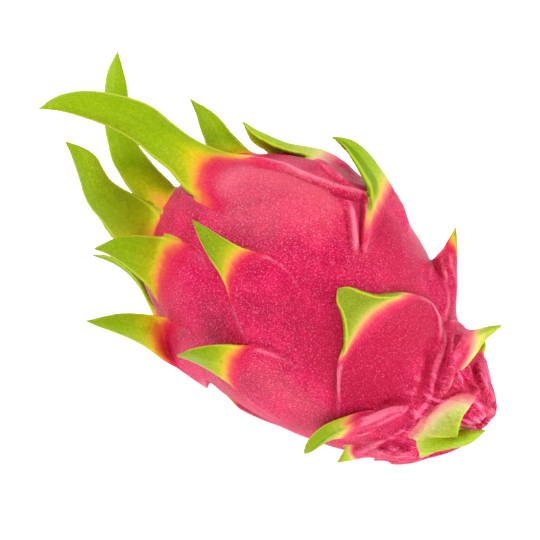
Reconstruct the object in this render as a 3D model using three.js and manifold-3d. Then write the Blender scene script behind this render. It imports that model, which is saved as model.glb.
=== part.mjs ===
// Dragon fruit (red pitaya), whole, lying on its side with its crown of leaves towards -X.
// Millimetres, +Z up. The origin is the middle of the flat spot it rests on.
import * as THREE from "three";
import Module from "manifold-3d";

// ---- driving dimensions
const REST_HEIGHT = 41; // the body's centre above the surface it rests on
const CROWN_RISE = 8; // degrees that the crown end is raised
const BODY_SIDES = 40; // facets round the body
const BODY_RINGS = 32; // rings from the stem end to the crown
const LEAF_STEPS = 8; // rows along a scale
const LEAF_STRIPS = 4; // strips across a scale
const EDGE_SHARE = 0.34; // thickness at a scale's margin against the middle

// The body from the stem end to the crown: distance along the axis from the middle, radius, and how far the ring's
// centre lies off the axis. The ends dip: a stem scar at one, the dried flower's navel at the other.
const BODY = [
  [-62.6, 0, -1.2], [-63, 3.4, -1.2], [-65.4, 5.6, -1.4], [-63.2, 10.6, -2.5], [-57.8, 16.3, -4], [-50.5, 22, -5],
  [-41.5, 26.3, -5.8], [-32, 30.3, -5.2], [-21, 35.8, -3.2], [-8, 40.6, -1], [6, 43.4, 0], [20, 43.6, 0.3],
  [33, 40.4, -0.4], [44, 35.6, -0.6], [53, 29.4, -0.6], [60.5, 22.4, 0], [65.6, 14, 0], [67.8, 8.2, 0],
  [67, 5.2, 0], [65.6, 3.2, 0], [65.4, 0, 0],
];
const OFF_UP = 0.587, OFF_SIDE = 0.81; // direction of that offset, up and to the back
const RIPPLES = [[3, 0.015, 0.6], [2, 0.012, -0.4]]; // the body isn't quite round: lobes, share of the radius, phase

// The scales: sharpness of the keel (0 rounded, 1 folded), then rows from the buried root to the tip. A row is the
// left margin x, y, z, the keel x, y, z, the right margin x, y, z and the thickness.
const SCALES = {
  crown_1: [0.15, [
    [-20.5, 10, 84.3, -18, -6.4, 85, -19.6, -17.4, 81.1, 3],
    [-35.8, 9, 82.2, -31.7, -7.5, 84.6, -31.6, -17, 80.4, 3.2],
    [-51.9, 12.5, 73, -46.2, -4.1, 80, -42.9, -14.8, 77.8, 3],
    [-56.5, 5.5, 79.1, -52.5, -5, 81.1, -51.2, -13.4, 76.5, 2.8],
    [-63.7, 4, 81, -60.4, -5.4, 82.9, -59, -12.3, 79.5, 2.6],
    [-71, 2.8, 84.6, -67.2, -6.2, 85.1, -66.2, -12.1, 81.2, 2.4],
    [-77.7, 0.4, 89.7, -73.5, -7.9, 89.1, -73, -12.3, 83.9, 2.3],
    [-85.5, -5.7, 94, -80.4, -12.7, 93.8, -80.4, -15.7, 88.6, 2.2],
    [-93, -14.4, 97.5, -87.9, -19.3, 97.6, -87.3, -21, 93, 2],
    [-97, -23.1, 98.8, -93.5, -25.7, 98.8, -93, -26.5, 96.6, 1.5],
    [-97.7, -31.6, 98.4, -97.7, -31.6, 98.4, -97.7, -31.6, 98.4, 0.7],
  ]],
  crown_2: [0.1, [
    [-60.1, -15.8, 57.6, -56.8, -12.6, 60.9, -56, -5.7, 60.1, 3],
    [-69.2, -13.7, 59.2, -64.5, -9.9, 62.1, -61.8, -3.7, 59.6, 2.8],
    [-75.1, -13, 60.6, -69.2, -9.8, 63, -65.5, -3.1, 60.9, 2.6],
    [-81.8, -12, 64.1, -75.1, -9.1, 65.8, -71.4, -2.5, 63.7, 2.4],
    [-87.1, -10.6, 67.2, -81.2, -8.3, 68.8, -77.7, -1.8, 66.8, 2.3],
    [-92.2, -7, 70.3, -86.8, -5.5, 71.7, -84.2, -0.3, 69.2, 2.2],
    [-96.8, -3.3, 73.2, -91.7, -2.5, 74.9, -90, 2.5, 72.1, 2.1],
    [-101.8, 2.1, 76.3, -96.9, 2.7, 78, -95.4, 7.6, 75.2, 2],
    [-106.8, 8, 78.4, -102, 8.8, 80.2, -100.4, 12.8, 78.1, 1.8],
    [-111, 14.3, 80.3, -107.5, 15.2, 81.7, -106.9, 17.8, 80.5, 1.4],
    [-113.7, 22.6, 82.8, -113.7, 22.6, 82.8, -113.7, 22.6, 82.8, 0.7],
  ]],
  crown_3: [0.1, [
    [-61.6, -22.8, 41.7, -50.2, -23.9, 57.8, -46.1, -19.9, 66.9, 3],
    [-67.2, -25, 44.9, -61.1, -20.8, 52.1, -55.2, -17.4, 62.5, 3],
    [-72.6, -27.2, 51.5, -66.4, -22.7, 57.5, -64.7, -14.6, 60.6, 2.7],
    [-76.8, -28.4, 58.1, -71.8, -24.7, 63.6, -71.7, -16.6, 64.1, 2.5],
    [-79.4, -29.9, 62.8, -74.9, -26.9, 68, -74.7, -19.6, 67.9, 2.3],
    [-81.6, -30.4, 68, -77.2, -28.4, 72.5, -77.2, -22, 71.9, 2.2],
    [-83.9, -29.7, 74.2, -79.2, -28.6, 77.8, -79, -23, 76.4, 2],
    [-85.3, -29.7, 79.3, -81.5, -28.4, 82.2, -81, -23.7, 81.3, 1.8],
    [-86.5, -30, 84.1, -84, -29.3, 85.9, -83.4, -26.1, 85.2, 1.4],
    [-87.9, -30.4, 88.9, -87.9, -30.4, 88.9, -87.9, -30.4, 88.9, 0.7],
  ]],
  crown_4: [0.2, [
    [-39, -1.4, 80.3, -33.2, 2.1, 82.8, -27.6, 8.4, 83.3, 3],
    [-55.7, 11.5, 67.7, -50.3, 14.3, 70.8, -45.1, 18.9, 71.2, 2.8],
    [-61, 12.4, 68.9, -56.1, 14.8, 72, -52.2, 19.4, 71.7, 2.5],
    [-64.8, 13.9, 71, -60.6, 15.5, 73.9, -58.1, 20.6, 73.5, 2.2],
    [-68.7, 15.8, 73.5, -64.9, 16.9, 76.2, -64.3, 21.9, 76.2, 2],
    [-73.3, 18.7, 76.6, -71.1, 19.4, 77.8, -70, 22.1, 77.9, 1.5],
    [-79.1, 21.8, 79, -79.1, 21.8, 79, -79.1, 21.8, 79, 0.7],
  ]],
  scale_top: [0.75, [
    [-17.2, 37.7, 69.9, -9.8, 30.8, 73.2, -4.7, 17.6, 80.8, 2.6],
    [-19.9, 33.5, 74, -14.4, 28.9, 76.3, -9.3, 15.9, 83.8, 2.6],
    [-24.4, 32.1, 74.3, -20.3, 28.7, 77.5, -16.4, 18.2, 83.2, 2.4],
    [-28.9, 29.5, 73.6, -25.7, 28.5, 77.9, -24.6, 22, 79.7, 2.2],
    [-33.2, 27.8, 72.1, -30.7, 27.2, 77.2, -28.1, 21, 80.6, 2],
    [-37.4, 25.4, 71.4, -35.8, 26, 76.6, -32.9, 20, 79.9, 1.8],
    [-42.4, 23.3, 71.5, -42, 24.9, 76.8, -38.5, 19, 79.8, 1.7],
    [-46.9, 22.5, 72.2, -47, 24.6, 76.8, -44, 19.4, 79.3, 1.6],
    [-51.6, 22.3, 73.6, -51.8, 24.5, 76.9, -49.3, 20.3, 79.1, 1.3],
    [-56.9, 24.1, 78.3, -56.9, 24.1, 78.3, -56.9, 24.1, 78.3, 0.7],
  ]],
  scale_right_top: [0.6, [
    [9.4, 26.1, 69.2, 14.5, 22.4, 68.6, 17.5, -7.5, 75.2, 2.8],
    [4.5, 27.7, 71.7, 7.2, 29.2, 70.3, 14.9, -2.6, 79.6, 2.8],
    [1.8, 26.6, 74, 0.6, 33.5, 71.1, 11.4, 3.9, 81.9, 2.6],
    [-1.3, 27, 74.2, -2.5, 33.7, 74.5, 7.1, 11.1, 83.2, 2.4],
    [-3.3, 25.3, 75.6, -5.1, 33, 78.5, 1.8, 18, 82.3, 2.2],
    [-7, 26.1, 77.1, -7.9, 32.2, 82.4, -1.4, 19.1, 85.1, 2],
    [-10.2, 26.9, 79.7, -10.8, 30.8, 86, -5.2, 20.6, 87.2, 1.8],
    [-13.6, 27.3, 83.5, -13.4, 28.7, 88.8, -9.1, 21.9, 89.2, 1.6],
    [-16.2, 26.3, 87.2, -15.6, 25.9, 90.8, -12.6, 23, 90.9, 1.3],
    [-18, 23.5, 91.8, -18, 23.5, 91.8, -18, 23.5, 91.8, 0.7],
  ]],
  scale_front: [0.1, [
    [44.7, 0.1, 55.4, 45.4, -15.1, 52, 30.8, -31.7, 36.9, 2.8],
    [39, 5, 59.6, 39.8, -15.1, 58.9, 28.2, -32.5, 47.1, 3],
    [34.4, 2.5, 65.6, 33.7, -15.7, 64.2, 26.8, -30.6, 56.5, 3],
    [30.4, -5.2, 71.2, 27.8, -17, 69.2, 26.3, -28.1, 62.4, 2.8],
    [27.9, -11.7, 74.6, 24.4, -18.4, 72.6, 24.9, -26.1, 68.9, 2.5],
    [24.6, -15.8, 77.5, 22.2, -20.1, 75.7, 22.7, -24.8, 73.6, 2.2],
    [21.4, -19, 80.1, 20.5, -21.8, 78.7, 20.7, -24.6, 77.1, 1.8],
    [19.4, -22.8, 81.2, 19.4, -22.8, 81.2, 19.4, -22.8, 81.2, 1],
  ]],
  scale_low: [0.8, [
    [52.4, -16.2, 45, 52.6, -17.4, 44.3, 53.5, -19.3, 35.4, 2.6],
    [48.5, -21.7, 45.8, 49.7, -22.3, 46, 49.1, -24, 33.4, 2.6],
    [44.5, -25.2, 45.4, 46.6, -26.2, 46.4, 43.7, -28.4, 32.3, 2.6],
    [40.7, -28.6, 44.7, 43.4, -30.9, 45.8, 37.7, -31.4, 29.8, 2.4],
    [36.9, -31.9, 43.5, 39.6, -35.1, 44.2, 33.6, -33.4, 29.1, 2.2],
    [33.1, -36.1, 42.1, 35.9, -38.4, 41.7, 31, -36, 30, 2],
    [28.3, -38.1, 37.4, 31.6, -39.2, 36.6, 28.1, -37.3, 27.5, 1.9],
    [24.9, -40.2, 32.2, 28.6, -40.9, 31.5, 26.2, -39.6, 25.5, 1.7],
    [23.1, -41.7, 27.2, 25.9, -42.1, 26.6, 24.6, -41.6, 23.6, 1.4],
    [22.6, -42.7, 21.8, 22.6, -42.7, 21.8, 22.6, -42.7, 21.8, 0.8],
  ]],
  scale_under: [0.5, [
    [55.3, -17.9, 34.4, 56.2, -17.1, 27.1, 54.4, -15.6, 18.9, 2.6],
    [52.5, -22.8, 34.3, 53.2, -23.1, 28.6, 50.9, -18.5, 17.4, 2.6],
    [48.8, -25.6, 31.7, 49.4, -26.5, 27.9, 47.4, -20.1, 15.6, 2.4],
    [44.9, -28.2, 30.2, 45.2, -29.1, 28.2, 42.1, -21.2, 15.2, 2.2],
    [40.6, -30.3, 28.4, 40.9, -30.7, 26.7, 38.3, -24.5, 16.3, 2],
    [35.9, -31.3, 25.1, 36.3, -31.7, 22.6, 36, -28.7, 16.6, 1.9],
    [32.1, -32, 21.5, 33.3, -32.4, 19.7, 33.7, -31.3, 16, 1.7],
    [30.2, -34, 14.6, 30.2, -34, 14.6, 30.2, -34, 14.6, 0.9],
  ]],
  stem_scale_front: [0.3, [
    [49.3, -22.9, 36.6, 53.4, -14.3, 45.4, 58, 0.7, 44.8, 2.6],
    [51.9, -23.8, 35.7, 56.6, -15.8, 45.8, 62.2, -4.2, 46, 2.6],
    [55.7, -23.3, 37.4, 59.6, -17.4, 45.9, 63.2, -9.4, 47.1, 2.2],
    [59.8, -23, 40, 62.1, -18.8, 45.5, 63.7, -13.2, 46.7, 1.9],
    [63.1, -22, 41.6, 64.3, -20.3, 44.8, 64.4, -17, 46, 1.6],
    [66.1, -21.2, 43.5, 66.1, -21.2, 43.5, 66.1, -21.2, 43.5, 0.9],
  ]],
  stem_scale_low: [0.2, [
    [48.5, -23.7, 34.7, 47.1, -24.6, 29.4, 48.3, -22, 21, 2.6],
    [53.2, -22.2, 34.9, 53.3, -23, 30.6, 53.8, -20.6, 24.3, 2.5],
    [56.8, -19.4, 34.4, 57.9, -20.3, 32.6, 57.6, -19.3, 28.1, 2.2],
    [59.9, -16.7, 34.6, 61.3, -18.1, 33.6, 61, -17.1, 29.7, 2],
    [62.5, -13.9, 35.7, 64.6, -16.2, 35.9, 63.5, -13.2, 28.7, 1.8],
    [65.2, -11.2, 36.2, 67.1, -13.3, 36.7, 66.3, -10.8, 30.9, 1.5],
    [67.8, -5.5, 33, 67.8, -5.5, 33, 67.8, -5.5, 33, 0.8],
  ]],
  stem_scale_right: [0.6, [
    [42.8, 2.8, 55.5, 48.1, -11.8, 51.9, 53.2, -17, 42.9, 2.8],
    [42.4, 6.8, 56.3, 49.6, -9, 55.3, 54.6, -15.2, 47.6, 2.8],
    [43, 11, 53.5, 51, -5.6, 57, 55.8, -13, 51.1, 2.6],
    [44.5, 14, 49.8, 52.9, -3.1, 58.8, 56.8, -10.1, 55, 2.4],
    [48.4, 11.7, 52.5, 54.9, -2.8, 62.5, 57.6, -5.4, 56.6, 2.2],
    [51, 12.2, 54.1, 53.5, 4.7, 58.1, 55.5, 4.4, 52.4, 2],
    [52.4, 14.8, 53.9, 53.9, 9.3, 57.1, 54.9, 10.3, 53.1, 1.7],
    [53.9, 17.3, 53.5, 54.7, 13.6, 55.8, 55.3, 14.6, 53.4, 1.3],
    [56, 19.1, 53.6, 56, 19.1, 53.6, 56, 19.1, 53.6, 0.7],
  ]],
  stem_scale_edge: [0.4, [
    [59.4, -1.2, 44.1, 61.3, 2, 42.6, 58, 14.3, 27.4, 2.4],
    [57.6, 1.4, 47.3, 59.3, 4.4, 45.9, 55.2, 16.3, 30.7, 2.2],
    [55.6, 6.4, 47.3, 56.3, 8.4, 46, 53.1, 16.9, 35.3, 1.9],
    [52.5, 13.3, 44.2, 53.3, 13.3, 45.1, 53, 15.2, 42.6, 1.4],
    [52, 15.8, 46.5, 52, 15.8, 46.5, 52, 15.8, 46.5, 0.7],
  ]],
  scale_right: [0.5, [
    [30.5, 12.3, 60.4, 39.3, 7.4, 56, 41.1, 15, 47, 2.6],
    [28, 17.2, 61.8, 36.2, 13.1, 57.3, 37.9, 18.7, 50.4, 2.6],
    [23.1, 27.4, 55.8, 32.2, 20.9, 56, 35.4, 22.7, 53.7, 2.4],
    [24.2, 28.2, 59.4, 31.1, 23.8, 60, 33.3, 25.8, 57.5, 2.1],
    [24.6, 30.8, 61.1, 29, 28.1, 61.9, 30.6, 30, 59.6, 1.8],
    [24.3, 34.7, 62.9, 26.7, 32.9, 62.9, 27.7, 34, 61.7, 1.4],
    [23.9, 38.7, 64.9, 23.9, 38.7, 64.9, 23.9, 38.7, 64.9, 0.7],
  ]],
  scale_left: [0.25, [
    [7.8, -24.3, 71.6, 6.7, -30.9, 63.5, 1.4, -37.6, 52.4, 2.8],
    [0.9, -23.7, 77.5, -0.4, -32.2, 69.5, -4.2, -38.7, 58.1, 3],
    [-6.4, -24.7, 80, -7, -32, 73.3, -9, -37.7, 64.3, 3],
    [-12.2, -26.5, 81, -12.3, -31.9, 76.2, -13.2, -36.5, 69.8, 2.6],
    [-16.6, -28.6, 82.9, -16.7, -32.4, 80, -17.2, -36, 75.4, 2.3],
    [-21.1, -30.3, 85, -21, -33.6, 83.6, -21.8, -35.7, 79.9, 2],
    [-25.2, -32.2, 87.8, -25, -33.9, 87.1, -25.5, -35.4, 84.9, 1.6],
    [-29.1, -34.8, 91.3, -29.1, -34.8, 91.3, -29.1, -34.8, 91.3, 0.8],
  ]],
  scale_low_left: [0.3, [
    [14.3, -34.4, 51.9, 14.6, -36.6, 41.5, 11.2, -36.2, 24.3, 2.8],
    [8.9, -37.3, 55, 8.4, -40.2, 44.6, 4.7, -39.7, 28.5, 2.8],
    [3, -39.6, 56.2, 2.4, -42.4, 46.3, -0.5, -42.2, 32.5, 2.6],
    [-2.4, -42, 56.5, -2.1, -44.9, 49.2, -4.9, -44.4, 36.9, 2.4],
    [-6.1, -45.4, 57.8, -6, -47.7, 51.8, -8.2, -47.5, 42.3, 2.2],
    [-10.3, -48.8, 57.4, -9.3, -51.6, 54.8, -12.2, -50.1, 46.6, 1.9],
    [-13.4, -53.5, 57.9, -14.2, -53.7, 54.2, -18.5, -50.2, 45.7, 1.5],
    [-21.8, -53.1, 48.3, -21.8, -53.1, 48.3, -21.8, -53.1, 48.3, 0.8],
  ]],
  crown_5: [0.2, [
    [-23.3, -31.4, 68.5, -21, -36.5, 58.7, -24.9, -39.9, 41.2, 3],
    [-31.4, -30.2, 70.8, -29.1, -36.9, 61.8, -33.8, -39.5, 44.6, 3],
    [-39.2, -29.1, 70.2, -37.6, -35.5, 62.7, -43.4, -36.3, 44.9, 2.8],
    [-49.8, -25.5, 63.4, -46, -34, 61.4, -46.1, -39.1, 53.2, 2.5],
    [-54.1, -29.2, 64.5, -50.7, -36.5, 63.8, -50.6, -40.6, 57.7, 2.3],
    [-58, -33.2, 65.2, -54.8, -39.2, 65.7, -55.5, -41.8, 61.2, 2.1],
    [-60.9, -38.3, 65.9, -58.7, -42.6, 66.8, -59.9, -43.5, 64, 1.7],
    [-63, -45.8, 65.7, -63, -45.8, 65.7, -63, -45.8, 65.7, 0.8],
  ]],
  crown_6: [0.2, [
    [-20.9, -40.3, 46.2, -20.3, -40.5, 34.9, -25.2, -34.7, 12.7, 2.8],
    [-28, -41, 46.8, -30.2, -40.3, 33.8, -32.1, -38, 19.2, 2.8],
    [-37.1, -39.5, 42.9, -40.6, -38, 29.7, -36.7, -42.7, 26.4, 2.6],
    [-43.7, -40.7, 42, -40.2, -46.2, 41.1, -40.5, -47, 33.6, 2.3],
    [-48.2, -43.7, 42.5, -44.7, -48.9, 43.3, -45.8, -49.4, 36.5, 2.1],
    [-51.7, -48.2, 43.9, -49.5, -51.5, 44.2, -50.3, -52.6, 39.6, 1.8],
    [-54.2, -52.8, 44.7, -52.9, -55.1, 45, -53.7, -55.5, 42.3, 1.5],
    [-57.2, -58.2, 45.2, -57.2, -58.2, 45.2, -57.2, -58.2, 45.2, 0.8],
  ]],
  scale_back_1: [0.15, [
    [28.6, 24.9, 37.5, 26.8, 23.5, 24.2, 25.4, 15.9, 13.2, 2.8],
    [22.2, 31.6, 39.7, 20.1, 30.2, 23.4, 18.1, 20.3, 10.2, 2.9],
    [14.6, 37.3, 37.8, 12.6, 34.9, 23.3, 10.8, 26.6, 11.1, 2.8],
    [7.5, 41.1, 34, 6, 38.4, 23.3, 4.6, 32.7, 13.7, 2.6],
    [3.1, 43.1, 30.1, 2, 40.9, 23.1, 0.3, 37.9, 16.6, 2.3],
    [-1.3, 45, 27.5, -1.8, 43.7, 22.8, -3.1, 41.6, 18.6, 2],
    [-5.1, 47.5, 25, -5.3, 46.9, 22.3, -6.1, 45.6, 20.1, 1.6],
    [-8.4, 50.4, 21.7, -8.4, 50.4, 21.6, -8.4, 50.3, 21.5, 0.8],
  ]],
  scale_back_2: [0.15, [
    [3.4, 35.8, 55.6, 1.5, 39.3, 41.9, -0.5, 37.4, 27.8, 2.8],
    [-4.4, 38.7, 59.6, -6.6, 43.4, 43.2, -9.1, 40.3, 26.3, 2.9],
    [-13.3, 41.3, 59.1, -15.4, 44.9, 44.3, -17.6, 42.6, 29.1, 2.8],
    [-21.3, 42.9, 56.3, -22.9, 44.9, 45, -24.5, 43.8, 33.5, 2.6],
    [-27.1, 44.3, 53.2, -27.8, 45.1, 45.5, -28.6, 44.9, 37.8, 2.3],
    [-32.3, 44.8, 51, -32.7, 45.6, 46, -33.3, 45.2, 41, 2],
    [-37.4, 45.8, 49.3, -37.6, 46.4, 46.6, -38, 46, 43.8, 1.6],
    [-42.3, 47.6, 47.2, -42.4, 47.6, 47.1, -42.4, 47.6, 46.9, 0.8],
  ]],
  scale_back_3: [0.15, [
    [10.4, 31.4, 22.3, 8.9, 21.8, 10.6, 8.1, 8.3, 3.7, 2.8],
    [2.1, 36.7, 22.5, 0.2, 25.4, 8.1, -0.9, 8.6, 0.6, 2.9],
    [-7.8, 37.9, 19.4, -9.4, 26.9, 7.2, -10.5, 12.1, 0.1, 2.8],
    [-15.8, 36.4, 15.4, -17, 27.4, 6.9, -17.9, 16.6, 1.1, 2.6],
    [-22, 34.4, 11.6, -22.3, 28, 6.4, -22.6, 21, 2, 2.3],
    [-27.3, 33, 9, -27.4, 28.9, 5.4, -27.7, 24.2, 2.7, 2],
    [-32.3, 32.4, 6, -32.2, 30.2, 3.9, -32.5, 27.6, 2.5, 1.6],
    [-36.8, 32, 1.9, -36.8, 31.9, 1.9, -36.9, 31.8, 1.8, 0.8],
  ]],
  scale_back_4: [0.15, [
    [40.5, 14.7, 19.3, 39.4, 6.8, 12.1, 38.9, -3.5, 9, 2.8],
    [34.4, 18.6, 17.6, 33.3, 8.8, 8.4, 32.7, -4.1, 5.2, 2.9],
    [28, 20, 13.9, 26.9, 10.7, 6.3, 26.4, -0.8, 2.9, 2.8],
    [22.7, 20.1, 9.5, 21.9, 12.7, 4.5, 21.4, 4.2, 1.4, 2.6],
    [19.5, 19.2, 6.2, 18.8, 14.2, 2.9, 17.5, 8.8, 0.3, 2.3],
    [16.2, 19, 3.2, 15.9, 15.8, 0.9, 14.9, 12.3, -0.6, 2],
    [13.5, 19.4, -0.1, 13.6, 17.7, -1.5, 12.8, 15.7, -2.3, 1.6],
    [11.7, 19.8, -4.2, 11.7, 19.6, -4.3, 11.7, 19.5, -4.3, 0.8],
  ]],
  scale_bottom_1: [0.15, [
    [35.1, 3.7, 9.4, 34.8, -7.4, 7.8, 35.3, -18.1, 11, 2.8],
    [28.7, 6.1, 6.4, 28.6, -7.5, 3.9, 29.1, -20.7, 8.5, 2.9],
    [22.1, 5.3, 2.9, 21.9, -7, 1.4, 22.3, -19.1, 4.7, 2.8],
    [16.8, 2.8, -0.1, 16.7, -6.5, -0.7, 16.9, -15.8, 1.1, 2.6],
    [13.5, 0, -1.9, 13.1, -6.2, -2.2, 12.2, -12.3, -1.6, 2.3],
    [9.7, -1.8, -3.6, 9.6, -5.9, -4, 8.9, -9.8, -3.4, 2],
    [6.1, -3.3, -5.7, 6.2, -5.6, -6.1, 5.7, -7.8, -5.6, 1.6],
    [3, -5.2, -8.3, 2.9, -5.3, -8.3, 2.9, -5.5, -8.3, 0.8],
  ]],
  scale_bottom_2: [0.15, [
    [6.8, 20.6, 9.1, 6, 7.6, 3.2, 6, -6.7, 2.1, 2.8],
    [-1.4, 24.2, 7.5, -2.4, 8.7, 0.1, -2.5, -8.7, -0.2, 2.9],
    [-10.5, 23, 4.9, -11.3, 8.8, -0.9, -11.4, -6.7, -1.6, 2.8],
    [-18.4, 19.5, 2.4, -18.9, 8.5, -1.1, -19.1, -3, -2.1, 2.6],
    [-24.2, 15.9, 0.6, -23.9, 8.4, -1.4, -23.6, 0.7, -2.5, 2.3],
    [-29, 13.1, -0.3, -28.8, 8.3, -1.9, -28.7, 3.2, -2.3, 2],
    [-33.9, 10.9, -1.5, -33.7, 8.2, -2.6, -33.7, 5.4, -2.6, 1.6],
    [-38.6, 8.4, -3.4, -38.6, 8.2, -3.4, -38.6, 8.1, -3.5, 0.8],
  ]],
  scale_bottom_3: [0.15, [
    [8, -7.5, 2.4, 8.7, -21.2, 7, 10.2, -31.6, 16.8, 2.8],
    [-0.4, -5.3, -0.5, 0.3, -22.2, 4.1, 2, -34.7, 16.4, 2.9],
    [-9.3, -7.4, -1.6, -8.6, -22.4, 3, -7.2, -34.4, 13.2, 2.8],
    [-16.8, -11.2, -1.4, -16.2, -22.3, 2.6, -15.3, -32, 9.5, 2.6],
    [-20.9, -15.2, -0.9, -21.2, -22.3, 2.2, -21.5, -29, 6.2, 2.3],
    [-26, -17.7, -0.2, -26.1, -22.4, 1.6, -26.3, -26.6, 4.5, 2],
    [-31, -19.9, 0.1, -31, -22.6, 0.9, -31.1, -24.9, 2.6, 1.6],
    [-35.8, -22.8, -0.1, -35.8, -22.9, 0, -35.9, -23.1, 0.1, 0.8],
  ]],
  stem_scale_back: [0.15, [
    [53.8, 11.4, 37.6, 52.7, 13.1, 30.3, 51.6, 11.3, 23.1, 2.8],
    [51.1, 15.5, 38.8, 50, 17.6, 29.6, 48.5, 14.6, 20.6, 2.9],
    [46.7, 19.2, 37.6, 45.6, 20.4, 29, 44.4, 17.9, 20.7, 2.8],
    [43.1, 22.2, 35.2, 42.1, 22.5, 28.6, 41.3, 21, 22.2, 2.6],
    [39.8, 24.7, 32.6, 40.1, 24.3, 28.3, 39.8, 23.1, 24.1, 2.3],
    [38.1, 26.8, 30.7, 38.6, 26.6, 27.9, 38.1, 25.8, 25.2, 2],
    [37.5, 29.3, 28.9, 38, 29.2, 27.4, 37.5, 28.8, 25.9, 1.6],
    [38.1, 31.9, 27, 38.1, 31.9, 26.9, 38.1, 31.9, 26.8, 0.8],
  ]],
  stem_scale_under: [0.15, [
    [52.3, -1.1, 16, 52.3, -8.8, 16.4, 52.9, -15.1, 20.6, 2.8],
    [49.3, -1.1, 11.6, 49.6, -10.8, 11.9, 50.2, -18.8, 17.4, 2.9],
    [45.2, -3.6, 7.9, 45.4, -12.3, 8.8, 46, -20, 13.3, 2.8],
    [41.6, -6.9, 5.5, 41.8, -13.5, 6.7, 42.2, -19.6, 9.7, 2.6],
    [38.9, -10.1, 4.3, 39.6, -14.2, 5.3, 39.7, -18.1, 7.2, 2.3],
    [36.7, -12.3, 3.4, 37.4, -15, 3.9, 37.3, -17.5, 5.3, 2],
    [34.8, -14.2, 2.2, 35.2, -15.8, 2.3, 35.1, -17.1, 3.2, 1.6],
    [33.2, -16.5, 0.6, 33.2, -16.6, 0.7, 33.2, -16.8, 0.7, 0.8],
  ]],
  crown_7: [0.15, [
    [-22.8, 36.7, 59.6, -24.4, 39.8, 48.6, -26, 39.6, 37.1, 2.9],
    [-31.3, 35, 62.2, -33.3, 39.4, 49, -35.1, 38, 35.1, 3],
    [-40.1, 33.5, 60.7, -41.9, 36.9, 49.3, -43.4, 35.8, 37.3, 2.9],
    [-46.9, 32.2, 58.4, -48.3, 34.4, 49.4, -49.5, 33.7, 40, 2.7],
    [-52.3, 30.6, 56.7, -52.8, 32.3, 49.2, -52.7, 32.5, 41.6, 2.5],
    [-58.1, 28.7, 55.4, -58.3, 30.6, 49, -58, 30.5, 42.3, 2.3],
    [-64.3, 28.9, 54.4, -64.1, 30.7, 48.8, -63.9, 30.5, 42.9, 2.2],
    [-70, 31.8, 53.1, -69.3, 33.1, 48.7, -69.3, 32.9, 44, 2],
    [-73.3, 36.3, 51.6, -72.6, 37, 48.7, -72.8, 36.9, 45.6, 1.6],
    [-74.4, 41.7, 49, -74.4, 41.7, 48.8, -74.4, 41.7, 48.7, 0.8],
  ]],
  crown_8: [0.15, [
    [-24.7, 39.2, 32.7, -26.3, 33.9, 21.8, -27.6, 25.4, 13.1, 2.9],
    [-33.3, 39, 36.9, -35.4, 33.7, 23.2, -36.7, 22.9, 13.1, 3],
    [-42.3, 36.5, 37.8, -44.1, 31.8, 26.1, -45.2, 22.8, 17.1, 2.9],
    [-49.1, 33.7, 37.9, -50.5, 29.8, 28.7, -51.4, 23.1, 21.3, 2.7],
    [-54, 31.5, 37.6, -55.7, 27.9, 31.1, -56.6, 23.1, 25.2, 2.5],
    [-60.4, 29.1, 39.3, -61.9, 26.3, 33.5, -62.6, 21.8, 28.6, 2.3],
    [-67.3, 28.1, 40.5, -68.5, 25.7, 35.2, -69.3, 21.7, 31, 2.2],
    [-74.6, 28.4, 40.3, -75.3, 26.6, 36, -76.1, 23.4, 32.8, 2],
    [-80.6, 29.9, 38.6, -80.9, 28.7, 35.8, -81.6, 26.6, 33.7, 1.6],
    [-86, 31.8, 34.9, -86.1, 31.7, 34.8, -86.1, 31.6, 34.7, 0.8],
  ]],
  crown_9: [0.15, [
    [-29.7, 22.2, 11.7, -30.4, 11.7, 6.8, -30.7, 0.2, 4.8, 2.9],
    [-38, 23.4, 14.3, -39.1, 11, 7.7, -39.2, -3, 6.2, 3],
    [-46.4, 20.6, 16.4, -47.3, 9.9, 11, -47.3, -2.1, 9.7, 2.9],
    [-52.6, 17.4, 17.9, -53.2, 8.9, 14.2, -53.3, -0.4, 12.8, 2.7],
    [-57.7, 15, 19.8, -58, 8, 16.8, -57.6, 0.5, 15.2, 2.5],
    [-63.3, 13.1, 22.5, -63.7, 7.1, 19.7, -63.2, 0.5, 18.6, 2.3],
    [-69.2, 11.5, 24.8, -69.6, 6.3, 22.1, -69.1, 0.5, 21.3, 2.2],
    [-75.4, 9.8, 26.2, -75.7, 5.7, 24, -75.4, 1, 23.4, 2],
    [-81, 8, 26.5, -81.2, 5.3, 25.1, -81, 2.2, 24.7, 1.6],
    [-86.7, 5.2, 25.7, -86.7, 5.1, 25.7, -86.7, 4.9, 25.6, 0.8],
  ]],
  crown_10: [0.15, [
    [-28.9, -4, 4.2, -28.5, -16.1, 6.8, -27.7, -26.7, 13.1, 2.9],
    [-37.8, -1.9, 5.6, -37.6, -16.7, 7.8, -36.2, -29.1, 16.4, 3],
    [-46.3, -3.5, 9, -46.2, -16.2, 11.4, -45, -26.9, 18.6, 2.9],
    [-52.6, -5.6, 12.4, -52.4, -15.4, 14.8, -51.5, -24, 20.2, 2.7],
    [-57.8, -7.5, 15.5, -57.5, -14.8, 17.6, -56.4, -21.5, 21.1, 2.5],
    [-63.6, -7.7, 19.1, -63.4, -14.1, 20.7, -62.4, -19.9, 23.9, 2.3],
    [-69.8, -8, 22, -69.6, -13.7, 23.3, -68.7, -18.7, 26.3, 2.2],
    [-76.2, -8.9, 24.4, -76, -13.6, 25.2, -75.4, -17.5, 27.7, 2],
    [-82, -10.7, 25.8, -81.8, -13.7, 26.3, -81.5, -16.2, 28, 1.6],
    [-87.7, -13.9, 26.8, -87.7, -14, 26.9, -87.7, -14.2, 26.9, 0.8],
  ]],
  crown_11: [0.15, [
    [-31.3, -27, 14.8, -30.2, -33.4, 22.4, -29, -37.4, 31.4, 2.9],
    [-39.5, -24.9, 14.5, -38.4, -33.5, 23.2, -36.7, -37.7, 34.5, 3],
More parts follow.
